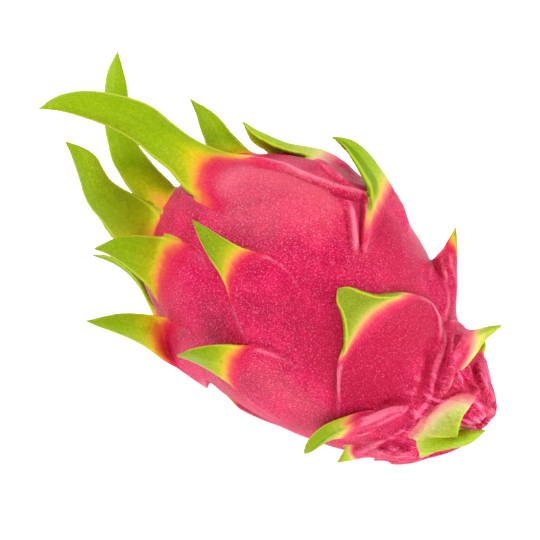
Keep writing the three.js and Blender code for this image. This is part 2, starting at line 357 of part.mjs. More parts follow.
    [-47, -24.2, 17.8, -46.1, -31.5, 25.3, -44.5, -35.4, 34.9, 2.9],
    [-52.8, -23.7, 21.4, -52.1, -29.2, 27.4, -50.9, -32.6, 34.8, 2.7],
    [-57.2, -22.9, 23.9, -57, -27.2, 29.3, -56, -30.3, 35.4, 2.5],
    [-62.8, -21.2, 26.7, -62.7, -25.2, 31.2, -61.8, -27.6, 36.6, 2.3],
    [-69, -20.3, 28.8, -68.8, -23.9, 32.7, -68.1, -25.9, 37.5, 2.2],
    [-75.4, -20.6, 30.6, -75.2, -23.6, 33.5, -74.7, -25.1, 37.5, 2],
    [-81, -22.3, 31.8, -80.7, -24.3, 33.7, -80.5, -25.2, 36.3, 1.6],
    [-86.2, -25.6, 33.3, -86.1, -25.7, 33.4, -86.1, -25.7, 33.5, 0.8],
  ]],
  crown_12: [0.15, [
    [-40.2, 34.3, 42.2, -41, 33.2, 36.6, -41.8, 31.2, 31.4, 2.9],
    [-45.6, 33.5, 44.4, -46.9, 32.9, 37.6, -47.5, 29.9, 31.3, 3],
    [-51.1, 31.2, 44.8, -52.1, 30.5, 39, -52.7, 28.1, 33.5, 2.9],
    [-55.2, 29.5, 44.7, -56, 28.8, 40.1, -56.5, 27, 35.8, 2.7],
    [-58.5, 27.9, 46.8, -59.8, 27, 41.2, -60.3, 24.8, 36, 2.5],
    [-63, 25.7, 47.4, -64.2, 25.2, 42.5, -64.5, 22.9, 38, 2.3],
    [-67.8, 24, 48, -68.8, 23.8, 43.6, -69.2, 21.6, 39.7, 2.2],
    [-72.9, 23, 48.1, -73.6, 22.9, 44.7, -73.9, 21.1, 41.6, 2],
    [-77.5, 22.7, 47.7, -77.9, 22.7, 45.4, -78.2, 21.5, 43.5, 1.6],
    [-82.1, 22.9, 46.2, -82.2, 22.9, 46.1, -82.2, 22.9, 45.9, 0.8],
  ]],
  crown_13: [0.15, [
    [-44.5, 2.7, 11.9, -44.5, -3, 11.7, -44.5, -8.7, 12.3, 2.9],
    [-50, 4, 13.6, -50.3, -2.9, 12.8, -49.9, -9.8, 14.1, 3],
    [-55, 3.2, 16.5, -55.4, -2.7, 15.9, -55, -8.6, 16.9, 2.9],
    [-58.9, 2.1, 18.7, -59.1, -2.5, 18.4, -58.9, -7.1, 19.1, 2.7],
    [-62.3, 3.5, 21.4, -62.9, -2.2, 21.1, -62.6, -7.9, 22, 2.5],
    [-66.6, 3, 24.5, -67.3, -2, 23.9, -66.9, -6.9, 25, 2.3],
    [-71.4, 2.7, 27.1, -72, -1.7, 26.4, -71.6, -6, 27.6, 2.2],
    [-76.4, 2, 29.1, -76.8, -1.5, 28.4, -76.6, -4.9, 29.5, 2],
    [-81, 1, 30.2, -81.3, -1.3, 29.7, -81.2, -3.5, 30.4, 1.6],
    [-85.8, -0.9, 30.6, -85.8, -1.1, 30.7, -85.8, -1.2, 30.7, 0.8],
  ]],
  crown_14: [0.15, [
    [-41.2, -33.7, 35.8, -40.4, -34.6, 41.4, -39.6, -34.6, 46.9, 2.9],
    [-46.9, -32.7, 35.6, -46.2, -34.4, 42.3, -45, -33.8, 49, 3],
    [-52.1, -30.7, 37.7, -51.5, -32.1, 43.4, -50.5, -31.7, 49.2, 2.9],
    [-56, -29.2, 39.8, -55.5, -30.1, 44.4, -54.7, -30, 48.9, 2.7],
    [-61, -26.3, 39.9, -60.3, -27.6, 45.5, -59, -27.5, 51.1, 2.5],
    [-66.5, -23.6, 42, -66, -25, 46.8, -64.7, -24.6, 51.7, 2.3],
    [-72.4, -21.5, 43.9, -71.9, -22.9, 48.1, -70.8, -22.4, 52.4, 2.2],
    [-78.5, -20.4, 46, -78.1, -21.6, 49.4, -77.3, -21.1, 52.8, 2],
    [-83.9, -20.3, 48.2, -83.6, -21.1, 50.4, -83.1, -20.8, 52.6, 1.6],
    [-89.1, -21.3, 51.2, -89.1, -21.3, 51.4, -89, -21.3, 51.5, 0.8],
  ]],
};

// ---- curves
const catmull = (rows, u) => {
  const last = rows.length - 1;
  const i = Math.max(0, Math.min(Math.floor(u), last - 1));
  const f = u - i;
  const [a, b, c, d] = [rows[Math.max(i - 1, 0)], rows[i], rows[i + 1], rows[Math.min(i + 2, last)]];
  return b.map((_, k) =>
    0.5 * (2 * b[k] + (c[k] - a[k]) * f + (2 * a[k] - 5 * b[k] + 4 * c[k] - d[k]) * f * f + (3 * b[k] - a[k] - 3 * c[k] + d[k]) * f ** 3));
};

// ---- the body, a closed mesh of rings round its axis
const rise = THREE.MathUtils.degToRad(CROWN_RISE);
const toCrown = new THREE.Vector3(-Math.cos(rise), 0, Math.sin(rise));
const upwards = new THREE.Vector3(Math.sin(rise), 0, Math.cos(rise));
const sideways = new THREE.Vector3().crossVectors(toCrown, upwards);

function bodyPoint(u, turn) {
  const [along, radius, off] = catmull(BODY, u * (BODY.length - 1));
  const r = Math.max(radius, 0) * RIPPLES.reduce((s, [n, share, phase]) => s + share * Math.cos(n * turn + phase), 1);
  return new THREE.Vector3(0, 0, REST_HEIGHT)
    .addScaledVector(toCrown, along)
    .addScaledVector(upwards, OFF_UP * off + r * Math.cos(turn))
    .addScaledVector(sideways, OFF_SIDE * off + r * Math.sin(turn));
}

function bodyMesh() {
  const points = [bodyPoint(0, 0)];
  for (let k = 1; k < BODY_RINGS; k++) {
    const even = k / BODY_RINGS;
    const u = 0.5 * even + 0.25 * (1 - Math.cos(Math.PI * even));
    for (let j = 0; j < BODY_SIDES; j++) points.push(bodyPoint(u, ((j + (k % 2) / 2) / BODY_SIDES) * 2 * Math.PI));
  }
  points.push(bodyPoint(1, 0));
  const at = (k, j) => 1 + (k - 1) * BODY_SIDES + ((j + BODY_SIDES) % BODY_SIDES);
  const faces = [];
  for (let j = 0; j < BODY_SIDES; j++) {
    faces.push([0, at(1, j + 1), at(1, j)]);
    faces.push([points.length - 1, at(BODY_RINGS - 1, j), at(BODY_RINGS - 1, j + 1)]);
    for (let k = 1; k < BODY_RINGS - 1; k++) {
      if (k % 2) {
        faces.push([at(k, j), at(k + 1, j + 1), at(k + 1, j)]);
        faces.push([at(k, j), at(k, j + 1), at(k + 1, j + 1)]);
      } else {
        faces.push([at(k, j), at(k, j + 1), at(k + 1, j)]);
        faces.push([at(k, j + 1), at(k + 1, j + 1), at(k + 1, j)]);
      }
    }
  }
  return { points, faces };
}

// ---- a scale: a cupped strip with thickness, swept from its root to its tip
function scaleMesh([sharpness, rows]) {
  const middle = [];
  for (let i = 0; i <= LEAF_STEPS; i++) {
    const c = catmull(rows, (i / LEAF_STEPS) * (rows.length - 1));
    const [left, keel, right] = [0, 3, 6].map((k) => new THREE.Vector3(c[k], c[k + 1], c[k + 2]));
    const bulge = keel.clone().multiplyScalar(2).addScaledVector(left, -0.5).addScaledVector(right, -0.5);
    const row = [];
    for (let j = 0; j <= LEAF_STRIPS; j++) {
      const q = j / LEAF_STRIPS;
      const rounded = left.clone().multiplyScalar((1 - q) ** 2).addScaledVector(bulge, 2 * q * (1 - q)).addScaledVector(right, q * q);
      const folded = q < 0.5 ? left.clone().lerp(keel, 2 * q) : keel.clone().lerp(right, 2 * q - 1);
      row.push(rounded.lerp(folded, sharpness));
    }
    middle.push({ row, thickness: Math.max(c[9], 0.5) });
  }
  const normal = (i, j) => {
    const along = middle[Math.min(i + 1, LEAF_STEPS)].row[j].clone().sub(middle[Math.max(i - 1, 0)].row[j]);
    const across = middle[i].row[Math.min(j + 1, LEAF_STRIPS)].clone().sub(middle[i].row[Math.max(j - 1, 0)]);
    return across.cross(along).normalize();
  };
  const wide = LEAF_STRIPS + 1, side = LEAF_STEPS * wide;
  const points = [], tip = [];
  for (const sign of [1, -1])
    for (let i = 0; i < LEAF_STEPS; i++)
      for (let j = 0; j < wide; j++) {
        const e = Math.abs((2 * j) / LEAF_STRIPS - 1);
        const t = middle[i].thickness * (EDGE_SHARE + (1 - EDGE_SHARE) * Math.sqrt(Math.max(1 - e ** 3, 0)));
        points.push(middle[i].row[j].clone().addScaledVector(normal(i, j), (sign * t) / 2));
      }
  points.push(middle[LEAF_STEPS].row[LEAF_STRIPS / 2].clone()); // the tip is one point
  const end = points.length - 1;
  const faces = [];
  const quad = (a, b, c, d) => faces.push([a, b, c], [a, c, d]);
  for (let i = 0; i < LEAF_STEPS - 1; i++) {
    const k = i * wide;
    for (let j = 0; j < LEAF_STRIPS; j++) {
      quad(k + j, k + j + 1, k + wide + j + 1, k + wide + j);
      quad(side + k + j, side + k + wide + j, side + k + wide + j + 1, side + k + j + 1);
    }
    quad(k, k + wide, side + k + wide, side + k);
    quad(k + LEAF_STRIPS, side + k + LEAF_STRIPS, side + k + wide + LEAF_STRIPS, k + wide + LEAF_STRIPS);
  }
  const k = (LEAF_STEPS - 1) * wide;
  for (let j = 0; j < LEAF_STRIPS; j++) {
    quad(side + j, side + j + 1, j + 1, j);
    faces.push([k + j, k + j + 1, end], [side + k + j + 1, side + k + j, end]);
  }
  faces.push([k, end, side + k], [k + LEAF_STRIPS, side + k + LEAF_STRIPS, end]);
  return { points, faces };
}

// ---- joined into one solid
const wasm = await Module();
wasm.setup();

function solid({ points, faces }) {
  const make = (tris) =>
    new wasm.Manifold(new wasm.Mesh({
      numProp: 3,
      vertProperties: new Float32Array(points.flatMap((p) => [p.x, p.y, p.z])),
      triVerts: new Uint32Array(tris.flat()),
    }));
  const made = make(faces);
  return made.volume() > 0 ? made : make(faces.map(([a, b, c]) => [a, c, b]));
}

function slab(x, y, low, high) {
  const g = new THREE.BoxGeometry(2 * x, 2 * y, high - low).translate(0, 0, (low + high) / 2);
  const points = [], index = new Map(), faces = [];
  const pos = g.attributes.position, ids = [];
  for (let i = 0; i < pos.count; i++) {
    const p = new THREE.Vector3().fromBufferAttribute(pos, i);
    const key = p.toArray().join();
    if (!index.has(key)) index.set(key, points.push(p) - 1);
    ids.push(index.get(key));
  }
  for (let i = 0; i < g.index.count; i += 3) faces.push([0, 1, 2].map((k) => ids[g.index.getX(i + k)]));
  return solid({ points, faces });
}

let fruit = solid(bodyMesh());
for (const rows of Object.values(SCALES)) fruit = fruit.add(solid(scaleMesh(rows)));
fruit = fruit.subtract(slab(300, 300, -60, 0)); // the flat spot it rests on
fruit = fruit.decompose().sort((a, b) => b.volume() - a.volume())[0].simplify(0.02);

const out = fruit.getMesh();
const geometry = new THREE.BufferGeometry();
geometry.setAttribute("position", new THREE.BufferAttribute(new Float32Array(out.vertProperties), 3));
geometry.setIndex(new THREE.BufferAttribute(new Uint32Array(out.triVerts), 1));
geometry.computeVertexNormals();

const mesh = new THREE.Mesh(geometry, new THREE.MeshStandardMaterial({ name: "fruit_skin", color: 0xc92a58, roughness: 0.55 }));
mesh.name = "dragon_fruit";
const group = new THREE.Group();
group.name = "dragon_fruit_group";
group.add(mesh);
export default group;
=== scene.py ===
import math
import bpy
import numpy as np
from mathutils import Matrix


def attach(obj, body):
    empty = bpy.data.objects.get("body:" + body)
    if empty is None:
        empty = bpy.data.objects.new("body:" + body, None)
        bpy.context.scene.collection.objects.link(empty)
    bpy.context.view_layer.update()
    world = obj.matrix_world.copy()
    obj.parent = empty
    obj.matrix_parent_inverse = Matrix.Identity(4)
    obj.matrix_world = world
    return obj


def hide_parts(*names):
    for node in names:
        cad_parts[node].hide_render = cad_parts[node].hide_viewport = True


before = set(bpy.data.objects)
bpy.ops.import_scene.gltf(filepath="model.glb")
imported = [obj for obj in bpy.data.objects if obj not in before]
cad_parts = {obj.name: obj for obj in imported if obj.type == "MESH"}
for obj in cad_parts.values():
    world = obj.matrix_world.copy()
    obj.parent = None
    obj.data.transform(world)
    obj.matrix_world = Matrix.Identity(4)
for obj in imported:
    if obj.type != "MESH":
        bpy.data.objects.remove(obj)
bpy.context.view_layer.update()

import openvdb as vdb
from mathutils import Vector
from mathutils.kdtree import KDTree

# A whole dragon fruit on its side. Shape tables are in millimetres in the model's own frame; objects are in metres.
VOXEL = 0.5            # fineness of the solid that the body and its scales are fused in
BAND = 3.0
FUSE = 1.5             # how softly a scale's base runs into the skin
TRIANGLES = 186000

# ------------------------------------------------------------------ the body and its scales, as in the model
REST_HEIGHT = 41.0
RISE = math.radians(8)
AX = np.array([-math.cos(RISE), 0, math.sin(RISE)])
UP = np.array([math.sin(RISE), 0, math.cos(RISE)])
SIDE = np.cross(AX, UP)
MID = np.array([0, 0, REST_HEIGHT])
BODY = [(-62.6, 0, -1.2), (-63, 3.4, -1.2), (-65.4, 5.6, -1.4), (-63.2, 10.6, -2.5), (-57.8, 16.3, -4), (-50.5, 22, -5),
        (-41.5, 26.3, -5.8), (-32, 30.3, -5.2), (-21, 35.8, -3.2), (-8, 40.6, -1), (6, 43.4, 0), (20, 43.6, 0.3),
        (33, 40.4, -0.4), (44, 35.6, -0.6), (53, 29.4, -0.6), (60.5, 22.4, 0), (65.6, 14, 0), (67.8, 8.2, 0),
        (67, 5.2, 0), (65.6, 3.2, 0), (65.4, 0, 0)]

# name: (keel sharpness, rows from the root to the tip of left margin xyz, keel xyz, right margin xyz, thickness)
SCALES = {
    "crown_1": (0.15, [
        (-20.5, 10, 84.3, -18, -6.4, 85, -19.6, -17.4, 81.1, 3),
        (-35.8, 9, 82.2, -31.7, -7.5, 84.6, -31.6, -17, 80.4, 3.2),
        (-51.9, 12.5, 73, -46.2, -4.1, 80, -42.9, -14.8, 77.8, 3),
        (-56.5, 5.5, 79.1, -52.5, -5, 81.1, -51.2, -13.4, 76.5, 2.8),
        (-63.7, 4, 81, -60.4, -5.4, 82.9, -59, -12.3, 79.5, 2.6),
        (-71, 2.8, 84.6, -67.2, -6.2, 85.1, -66.2, -12.1, 81.2, 2.4),
        (-77.7, 0.4, 89.7, -73.5, -7.9, 89.1, -73, -12.3, 83.9, 2.3),
        (-85.5, -5.7, 94, -80.4, -12.7, 93.8, -80.4, -15.7, 88.6, 2.2),
        (-93, -14.4, 97.5, -87.9, -19.3, 97.6, -87.3, -21, 93, 2),
        (-97, -23.1, 98.8, -93.5, -25.7, 98.8, -93, -26.5, 96.6, 1.5),
        (-97.7, -31.6, 98.4, -97.7, -31.6, 98.4, -97.7, -31.6, 98.4, 0.7),
    ]),
    "crown_2": (0.1, [
        (-60.1, -15.8, 57.6, -56.8, -12.6, 60.9, -56, -5.7, 60.1, 3),
        (-69.2, -13.7, 59.2, -64.5, -9.9, 62.1, -61.8, -3.7, 59.6, 2.8),
        (-75.1, -13, 60.6, -69.2, -9.8, 63, -65.5, -3.1, 60.9, 2.6),
        (-81.8, -12, 64.1, -75.1, -9.1, 65.8, -71.4, -2.5, 63.7, 2.4),
        (-87.1, -10.6, 67.2, -81.2, -8.3, 68.8, -77.7, -1.8, 66.8, 2.3),
        (-92.2, -7, 70.3, -86.8, -5.5, 71.7, -84.2, -0.3, 69.2, 2.2),
        (-96.8, -3.3, 73.2, -91.7, -2.5, 74.9, -90, 2.5, 72.1, 2.1),
        (-101.8, 2.1, 76.3, -96.9, 2.7, 78, -95.4, 7.6, 75.2, 2),
        (-106.8, 8, 78.4, -102, 8.8, 80.2, -100.4, 12.8, 78.1, 1.8),
        (-111, 14.3, 80.3, -107.5, 15.2, 81.7, -106.9, 17.8, 80.5, 1.4),
        (-113.7, 22.6, 82.8, -113.7, 22.6, 82.8, -113.7, 22.6, 82.8, 0.7),
    ]),
    "crown_3": (0.1, [
        (-61.6, -22.8, 41.7, -50.2, -23.9, 57.8, -46.1, -19.9, 66.9, 3),
        (-67.2, -25, 44.9, -61.1, -20.8, 52.1, -55.2, -17.4, 62.5, 3),
        (-72.6, -27.2, 51.5, -66.4, -22.7, 57.5, -64.7, -14.6, 60.6, 2.7),
        (-76.8, -28.4, 58.1, -71.8, -24.7, 63.6, -71.7, -16.6, 64.1, 2.5),
        (-79.4, -29.9, 62.8, -74.9, -26.9, 68, -74.7, -19.6, 67.9, 2.3),
        (-81.6, -30.4, 68, -77.2, -28.4, 72.5, -77.2, -22, 71.9, 2.2),
        (-83.9, -29.7, 74.2, -79.2, -28.6, 77.8, -79, -23, 76.4, 2),
        (-85.3, -29.7, 79.3, -81.5, -28.4, 82.2, -81, -23.7, 81.3, 1.8),
        (-86.5, -30, 84.1, -84, -29.3, 85.9, -83.4, -26.1, 85.2, 1.4),
        (-87.9, -30.4, 88.9, -87.9, -30.4, 88.9, -87.9, -30.4, 88.9, 0.7),
    ]),
    "crown_4": (0.2, [
        (-39, -1.4, 80.3, -33.2, 2.1, 82.8, -27.6, 8.4, 83.3, 3),
        (-55.7, 11.5, 67.7, -50.3, 14.3, 70.8, -45.1, 18.9, 71.2, 2.8),
        (-61, 12.4, 68.9, -56.1, 14.8, 72, -52.2, 19.4, 71.7, 2.5),
        (-64.8, 13.9, 71, -60.6, 15.5, 73.9, -58.1, 20.6, 73.5, 2.2),
        (-68.7, 15.8, 73.5, -64.9, 16.9, 76.2, -64.3, 21.9, 76.2, 2),
        (-73.3, 18.7, 76.6, -71.1, 19.4, 77.8, -70, 22.1, 77.9, 1.5),
        (-79.1, 21.8, 79, -79.1, 21.8, 79, -79.1, 21.8, 79, 0.7),
    ]),
    "scale_top": (0.75, [
        (-17.2, 36, 65.5, -9.8, 29.8, 71, -4.7, 17.6, 80.8, 2.6),
        (-19, 32.5, 70, -14.4, 28.9, 76.3, -9.3, 15.9, 83.8, 2.6),
        (-24.4, 32.1, 74.3, -20.3, 28.7, 77.5, -16.4, 18.2, 83.2, 2.4),
        (-28.9, 29.5, 73.6, -25.7, 28.5, 77.9, -24.6, 22, 79.7, 2.2),
        (-33.2, 27.8, 72.1, -30.7, 27.2, 77.2, -28.1, 21, 80.6, 2),
        (-37.4, 25.4, 71.4, -35.8, 26, 76.6, -32.9, 20, 79.9, 1.8),
        (-42.4, 23.3, 71.5, -42, 24.9, 76.8, -38.5, 19, 79.8, 1.7),
        (-46.9, 22.5, 72.2, -47, 24.6, 76.8, -44, 19.4, 79.3, 1.6),
        (-51.6, 22.3, 73.6, -51.8, 24.5, 76.9, -49.3, 20.3, 79.1, 1.3),
        (-56.9, 24.1, 78.3, -56.9, 24.1, 78.3, -56.9, 24.1, 78.3, 0.7),
    ]),
    "scale_right_top": (0.6, [
        (9.4, 26.1, 69.2, 14.5, 22.4, 68.6, 17.5, -7.5, 75.2, 2.8),
        (4.5, 27.7, 71.7, 7.2, 29.2, 70.3, 14.9, -2.6, 79.6, 2.8),
        (1.8, 26.6, 74, 0.6, 33.5, 71.1, 11.4, 3.9, 81.9, 2.6),
        (-1.3, 27, 74.2, -2.5, 33.7, 74.5, 7.1, 11.1, 83.2, 2.4),
        (-3.3, 25.3, 75.6, -5.1, 33, 78.5, 1.8, 18, 82.3, 2.2),
        (-4.8, 27.2, 77, -7.9, 32.2, 82.4, -1.4, 19.1, 85.1, 2),
        (-9.2, 27.6, 79.7, -10.8, 30.8, 86, -5.2, 20.6, 87.2, 1.8),
        (-13.6, 27.3, 83.5, -13.4, 28.7, 88.8, -9.1, 21.9, 89.2, 1.6),
        (-16.2, 26.3, 87.2, -15.6, 25.9, 90.8, -12.6, 23, 90.9, 1.3),
        (-18, 23.5, 91.8, -18, 23.5, 91.8, -18, 23.5, 91.8, 0.7),
    ]),
    "scale_front": (0.1, [
        (44.7, 0.1, 55.4, 45.4, -15.1, 52, 30.8, -31.7, 36.9, 2.8),
        (39, 5, 59.6, 39.8, -15.1, 58.9, 28.2, -32.5, 47.1, 3),
        (34.4, 2.5, 65.6, 33.7, -15.7, 64.2, 26.8, -30.6, 56.5, 3),
        (30.4, -5.2, 71.2, 27.8, -17, 69.2, 26.3, -28.1, 62.4, 2.8),
        (27.9, -11.7, 74.6, 24.4, -18.4, 72.6, 24.9, -26.1, 68.9, 2.5),
        (24.6, -15.8, 77.5, 22.2, -20.1, 75.7, 22.7, -24.8, 73.6, 2.2),
        (21.4, -19, 80.1, 20.5, -21.8, 78.7, 20.7, -24.6, 77.1, 1.8),
        (19.4, -22.8, 81.2, 19.4, -22.8, 81.2, 19.4, -22.8, 81.2, 1),
    ]),
    "scale_low": (0.8, [
        (52.4, -16.2, 45, 52.6, -17.4, 44.3, 53.5, -19.3, 35.4, 2.6),
        (48.5, -21.7, 45.8, 49.7, -22.3, 46, 49.1, -24, 33.4, 2.6),
        (44.5, -25.2, 45.4, 46.6, -26.2, 46.4, 43.7, -28.4, 32.3, 2.6),
        (40.7, -28.6, 44.7, 43.4, -30.9, 45.8, 37.7, -31.4, 29.8, 2.4),
        (36.9, -31.9, 43.5, 39.6, -35.1, 44.2, 33.6, -33.4, 29.1, 2.2),
        (33.1, -36.1, 42.1, 35.9, -38.4, 41.7, 31, -36, 30, 2),
        (28.3, -38.1, 37.4, 31.6, -39.2, 36.6, 28.1, -37.3, 27.5, 1.9),
        (24.9, -40.2, 32.2, 28.6, -40.9, 31.5, 26.2, -39.6, 25.5, 1.7),
        (23.1, -41.7, 27.2, 25.9, -42.1, 26.6, 24.6, -41.6, 23.6, 1.4),
        (22.6, -42.7, 21.8, 22.6, -42.7, 21.8, 22.6, -42.7, 21.8, 0.8),
    ]),
    "scale_under": (0.5, [
        (55.3, -17.9, 34.4, 56.2, -17.1, 27.1, 54.4, -15.6, 18.9, 2.6),
        (52.5, -22.8, 34.3, 53.2, -23.1, 28.6, 50.9, -18.5, 17.4, 2.6),
        (48.8, -25.6, 31.7, 49.4, -26.5, 27.9, 47.4, -20.1, 15.6, 2.4),
        (44.9, -28.2, 30.2, 45.2, -29.1, 28.2, 42.1, -21.2, 15.2, 2.2),
        (40.6, -30.3, 28.4, 40.9, -30.7, 26.7, 38.3, -24.5, 16.3, 2),
        (35.9, -31.3, 25.1, 36.3, -31.7, 22.6, 36, -28.7, 16.6, 1.9),
        (32.1, -32, 21.5, 33.3, -32.4, 19.7, 33.7, -31.3, 16, 1.7),
        (30.2, -34, 14.6, 30.2, -34, 14.6, 30.2, -34, 14.6, 0.9),
    ]),
    "stem_scale_front": (0.3, [
        (49.3, -22.9, 36.6, 53.4, -14.3, 45.4, 58, 0.7, 44.8, 2.6),
        (51.9, -23.8, 35.7, 56.6, -15.8, 45.8, 62.2, -4.2, 46, 2.6),
        (55.7, -23.3, 37.4, 59.6, -17.4, 45.9, 63.2, -9.4, 47.1, 2.2),
        (59.8, -23, 40, 62.1, -18.8, 45.5, 63.7, -13.2, 46.7, 1.9),
        (63.1, -22, 41.6, 64.3, -20.3, 44.8, 64.4, -17, 46, 1.6),
        (66.1, -21.2, 43.5, 66.1, -21.2, 43.5, 66.1, -21.2, 43.5, 0.9),
    ]),
    "stem_scale_low": (0.2, [
        (48.5, -23.7, 34.7, 47.1, -24.6, 29.4, 48.3, -22, 21, 2.6),
        (53.2, -22.2, 34.9, 53.3, -23, 30.6, 53.8, -20.6, 24.3, 2.5),
        (56.8, -19.4, 34.4, 57.9, -20.3, 32.6, 57.6, -19.3, 28.1, 2.2),
        (59.9, -16.7, 34.6, 61.3, -18.1, 33.6, 61, -17.1, 29.7, 2),
        (62.5, -13.9, 35.7, 64.6, -16.2, 35.9, 63.5, -13.2, 28.7, 1.8),
        (65.2, -11.2, 36.2, 67.1, -13.3, 36.7, 66.3, -10.8, 30.9, 1.5),
        (67.8, -5.5, 33, 67.8, -5.5, 33, 67.8, -5.5, 33, 0.8),
    ]),
    "stem_scale_right": (0.6, [
        (42.8, 2.8, 55.5, 48.1, -11.8, 51.9, 53.2, -17, 42.9, 2.8),
        (42.4, 6.8, 56.3, 49.6, -9, 55.3, 54.6, -15.2, 47.6, 2.8),
        (43, 11, 53.5, 51, -5.6, 57, 55.8, -13, 51.1, 2.6),
        (44.5, 14, 49.8, 52.9, -3.1, 58.8, 56.8, -10.1, 55, 2.4),
        (48.4, 11.7, 52.5, 54.9, -2.8, 62.5, 57.6, -5.4, 56.6, 2.2),
        (51, 12.2, 54.1, 53.5, 4.7, 58.1, 55.5, 4.4, 52.4, 2),
        (52.4, 14.8, 53.9, 53.9, 9.3, 57.1, 54.9, 10.3, 53.1, 1.7),
        (53.9, 17.3, 53.5, 54.7, 13.6, 55.8, 55.3, 14.6, 53.4, 1.3),
        (56, 19.1, 53.6, 56, 19.1, 53.6, 56, 19.1, 53.6, 0.7),
    ]),
    "stem_scale_edge": (0.4, [
        (59.4, -1.2, 44.1, 61.3, 2, 42.6, 58, 14.3, 27.4, 2.4),
        (57.6, 1.4, 47.3, 59.3, 4.4, 45.9, 55.2, 16.3, 30.7, 2.2),
        (55.6, 6.4, 47.3, 56.3, 8.4, 46, 53.1, 16.9, 35.3, 1.9),
        (52.5, 13.3, 44.2, 53.3, 13.3, 45.1, 53, 15.2, 42.6, 1.4),
        (52, 15.8, 46.5, 52, 15.8, 46.5, 52, 15.8, 46.5, 0.7),
    ]),
    "scale_right": (0.5, [
        (30.5, 12.3, 60.4, 39.3, 7.4, 56, 41.1, 15, 47, 2.6),
        (28, 17.2, 61.8, 36.2, 13.1, 57.3, 37.9, 18.7, 50.4, 2.6),
        (23.1, 27.4, 55.8, 32.2, 20.9, 56, 35.4, 22.7, 53.7, 2.4),
        (24.2, 28.2, 59.4, 31.1, 23.8, 60, 33.3, 25.8, 57.5, 2.1),
        (24.6, 30.8, 61.1, 29, 28.1, 61.9, 30.6, 30, 59.6, 1.8),
        (24.3, 34.7, 62.9, 26.7, 32.9, 62.9, 27.7, 34, 61.7, 1.4),
        (23.9, 38.7, 64.9, 23.9, 38.7, 64.9, 23.9, 38.7, 64.9, 0.7),
    ]),
    "scale_left": (0.25, [
        (7.8, -24.3, 71.6, 6.7, -30.9, 63.5, 1.4, -37.6, 52.4, 2.8),
        (0.9, -23.7, 77.5, -0.4, -32.2, 69.5, -4.2, -38.7, 58.1, 3),
        (-6.4, -24.7, 80, -7, -32, 73.3, -9, -37.7, 64.3, 3),
        (-12.2, -26.5, 81, -12.3, -31.9, 76.2, -13.2, -36.5, 69.8, 2.6),
        (-16.6, -28.6, 82.9, -16.7, -32.4, 80, -17.2, -36, 75.4, 2.3),
        (-21.1, -30.3, 85, -21, -33.6, 83.6, -21.8, -35.7, 79.9, 2),
        (-25.2, -32.2, 87.8, -25, -33.9, 87.1, -25.5, -35.4, 84.9, 1.6),
        (-29.1, -34.8, 91.3, -29.1, -34.8, 91.3, -29.1, -34.8, 91.3, 0.8),
    ]),
    "scale_low_left": (0.3, [
        (14.3, -34.4, 51.9, 14.6, -36.6, 41.5, 11.2, -36.2, 24.3, 2.8),
        (8.9, -37.3, 55, 8.4, -40.2, 44.6, 4.7, -39.7, 28.5, 2.8),
        (3, -39.6, 56.2, 2.4, -42.4, 46.3, -0.5, -42.2, 32.5, 2.6),
        (-2.4, -42, 56.5, -2.1, -44.9, 49.2, -4.9, -44.4, 36.9, 2.4),
        (-6.1, -45.4, 57.8, -6, -47.7, 51.8, -8.2, -47.5, 42.3, 2.2),
        (-10.3, -48.8, 57.4, -9.3, -51.6, 54.8, -12.2, -50.1, 46.6, 1.9),
        (-13.4, -53.5, 57.9, -14.2, -53.7, 54.2, -18.5, -50.2, 45.7, 1.5),
        (-21.8, -53.1, 48.3, -21.8, -53.1, 48.3, -21.8, -53.1, 48.3, 0.8),
    ]),
    "crown_5": (0.2, [
        (-23.3, -31.4, 68.5, -21, -36.5, 58.7, -24.9, -39.9, 41.2, 3),
        (-31.4, -30.2, 70.8, -29.1, -36.9, 61.8, -33.8, -39.5, 44.6, 3),
        (-39.2, -29.1, 70.2, -37.6, -35.5, 62.7, -43.4, -36.3, 44.9, 2.8),
        (-49.8, -25.5, 63.4, -46, -34, 61.4, -46.1, -39.1, 53.2, 2.5),
        (-54.1, -29.2, 64.5, -50.7, -36.5, 63.8, -50.6, -40.6, 57.7, 2.3),
        (-58, -33.2, 65.2, -54.8, -39.2, 65.7, -55.5, -41.8, 61.2, 2.1),
        (-60.9, -38.3, 65.9, -58.7, -42.6, 66.8, -59.9, -43.5, 64, 1.7),
        (-63, -45.8, 65.7, -63, -45.8, 65.7, -63, -45.8, 65.7, 0.8),
    ]),
    "crown_6": (0.2, [
        (-20.9, -40.3, 46.2, -20.3, -40.5, 34.9, -25.2, -34.7, 12.7, 2.8),
        (-28, -41, 46.8, -30.2, -40.3, 33.8, -32.1, -38, 19.2, 2.8),
        (-37.1, -39.5, 42.9, -40.6, -38, 29.7, -36.7, -42.7, 26.4, 2.6),
        (-43.7, -40.7, 42, -40.2, -46.2, 41.1, -40.5, -47, 33.6, 2.3),
        (-48.2, -43.7, 42.5, -44.7, -48.9, 43.3, -45.8, -49.4, 36.5, 2.1),
        (-51.7, -48.2, 43.9, -49.5, -51.5, 44.2, -50.3, -52.6, 39.6, 1.8),
        (-54.2, -52.8, 44.7, -52.9, -55.1, 45, -53.7, -55.5, 42.3, 1.5),
        (-57.2, -58.2, 45.2, -57.2, -58.2, 45.2, -57.2, -58.2, 45.2, 0.8),
    ]),
    "scale_back_1": (0.15, [
        (28.6, 24.9, 37.5, 26.8, 23.5, 24.2, 25.4, 15.9, 13.2, 2.8),
        (22.2, 31.6, 39.7, 20.1, 30.2, 23.4, 18.1, 20.3, 10.2, 2.9),
        (14.6, 37.3, 37.8, 12.6, 34.9, 23.3, 10.8, 26.6, 11.1, 2.8),
        (7.5, 41.1, 34, 6, 38.4, 23.3, 4.6, 32.7, 13.7, 2.6),
        (3.1, 43.1, 30.1, 2, 40.9, 23.1, 0.3, 37.9, 16.6, 2.3),
        (-1.3, 45, 27.5, -1.8, 43.7, 22.8, -3.1, 41.6, 18.6, 2),
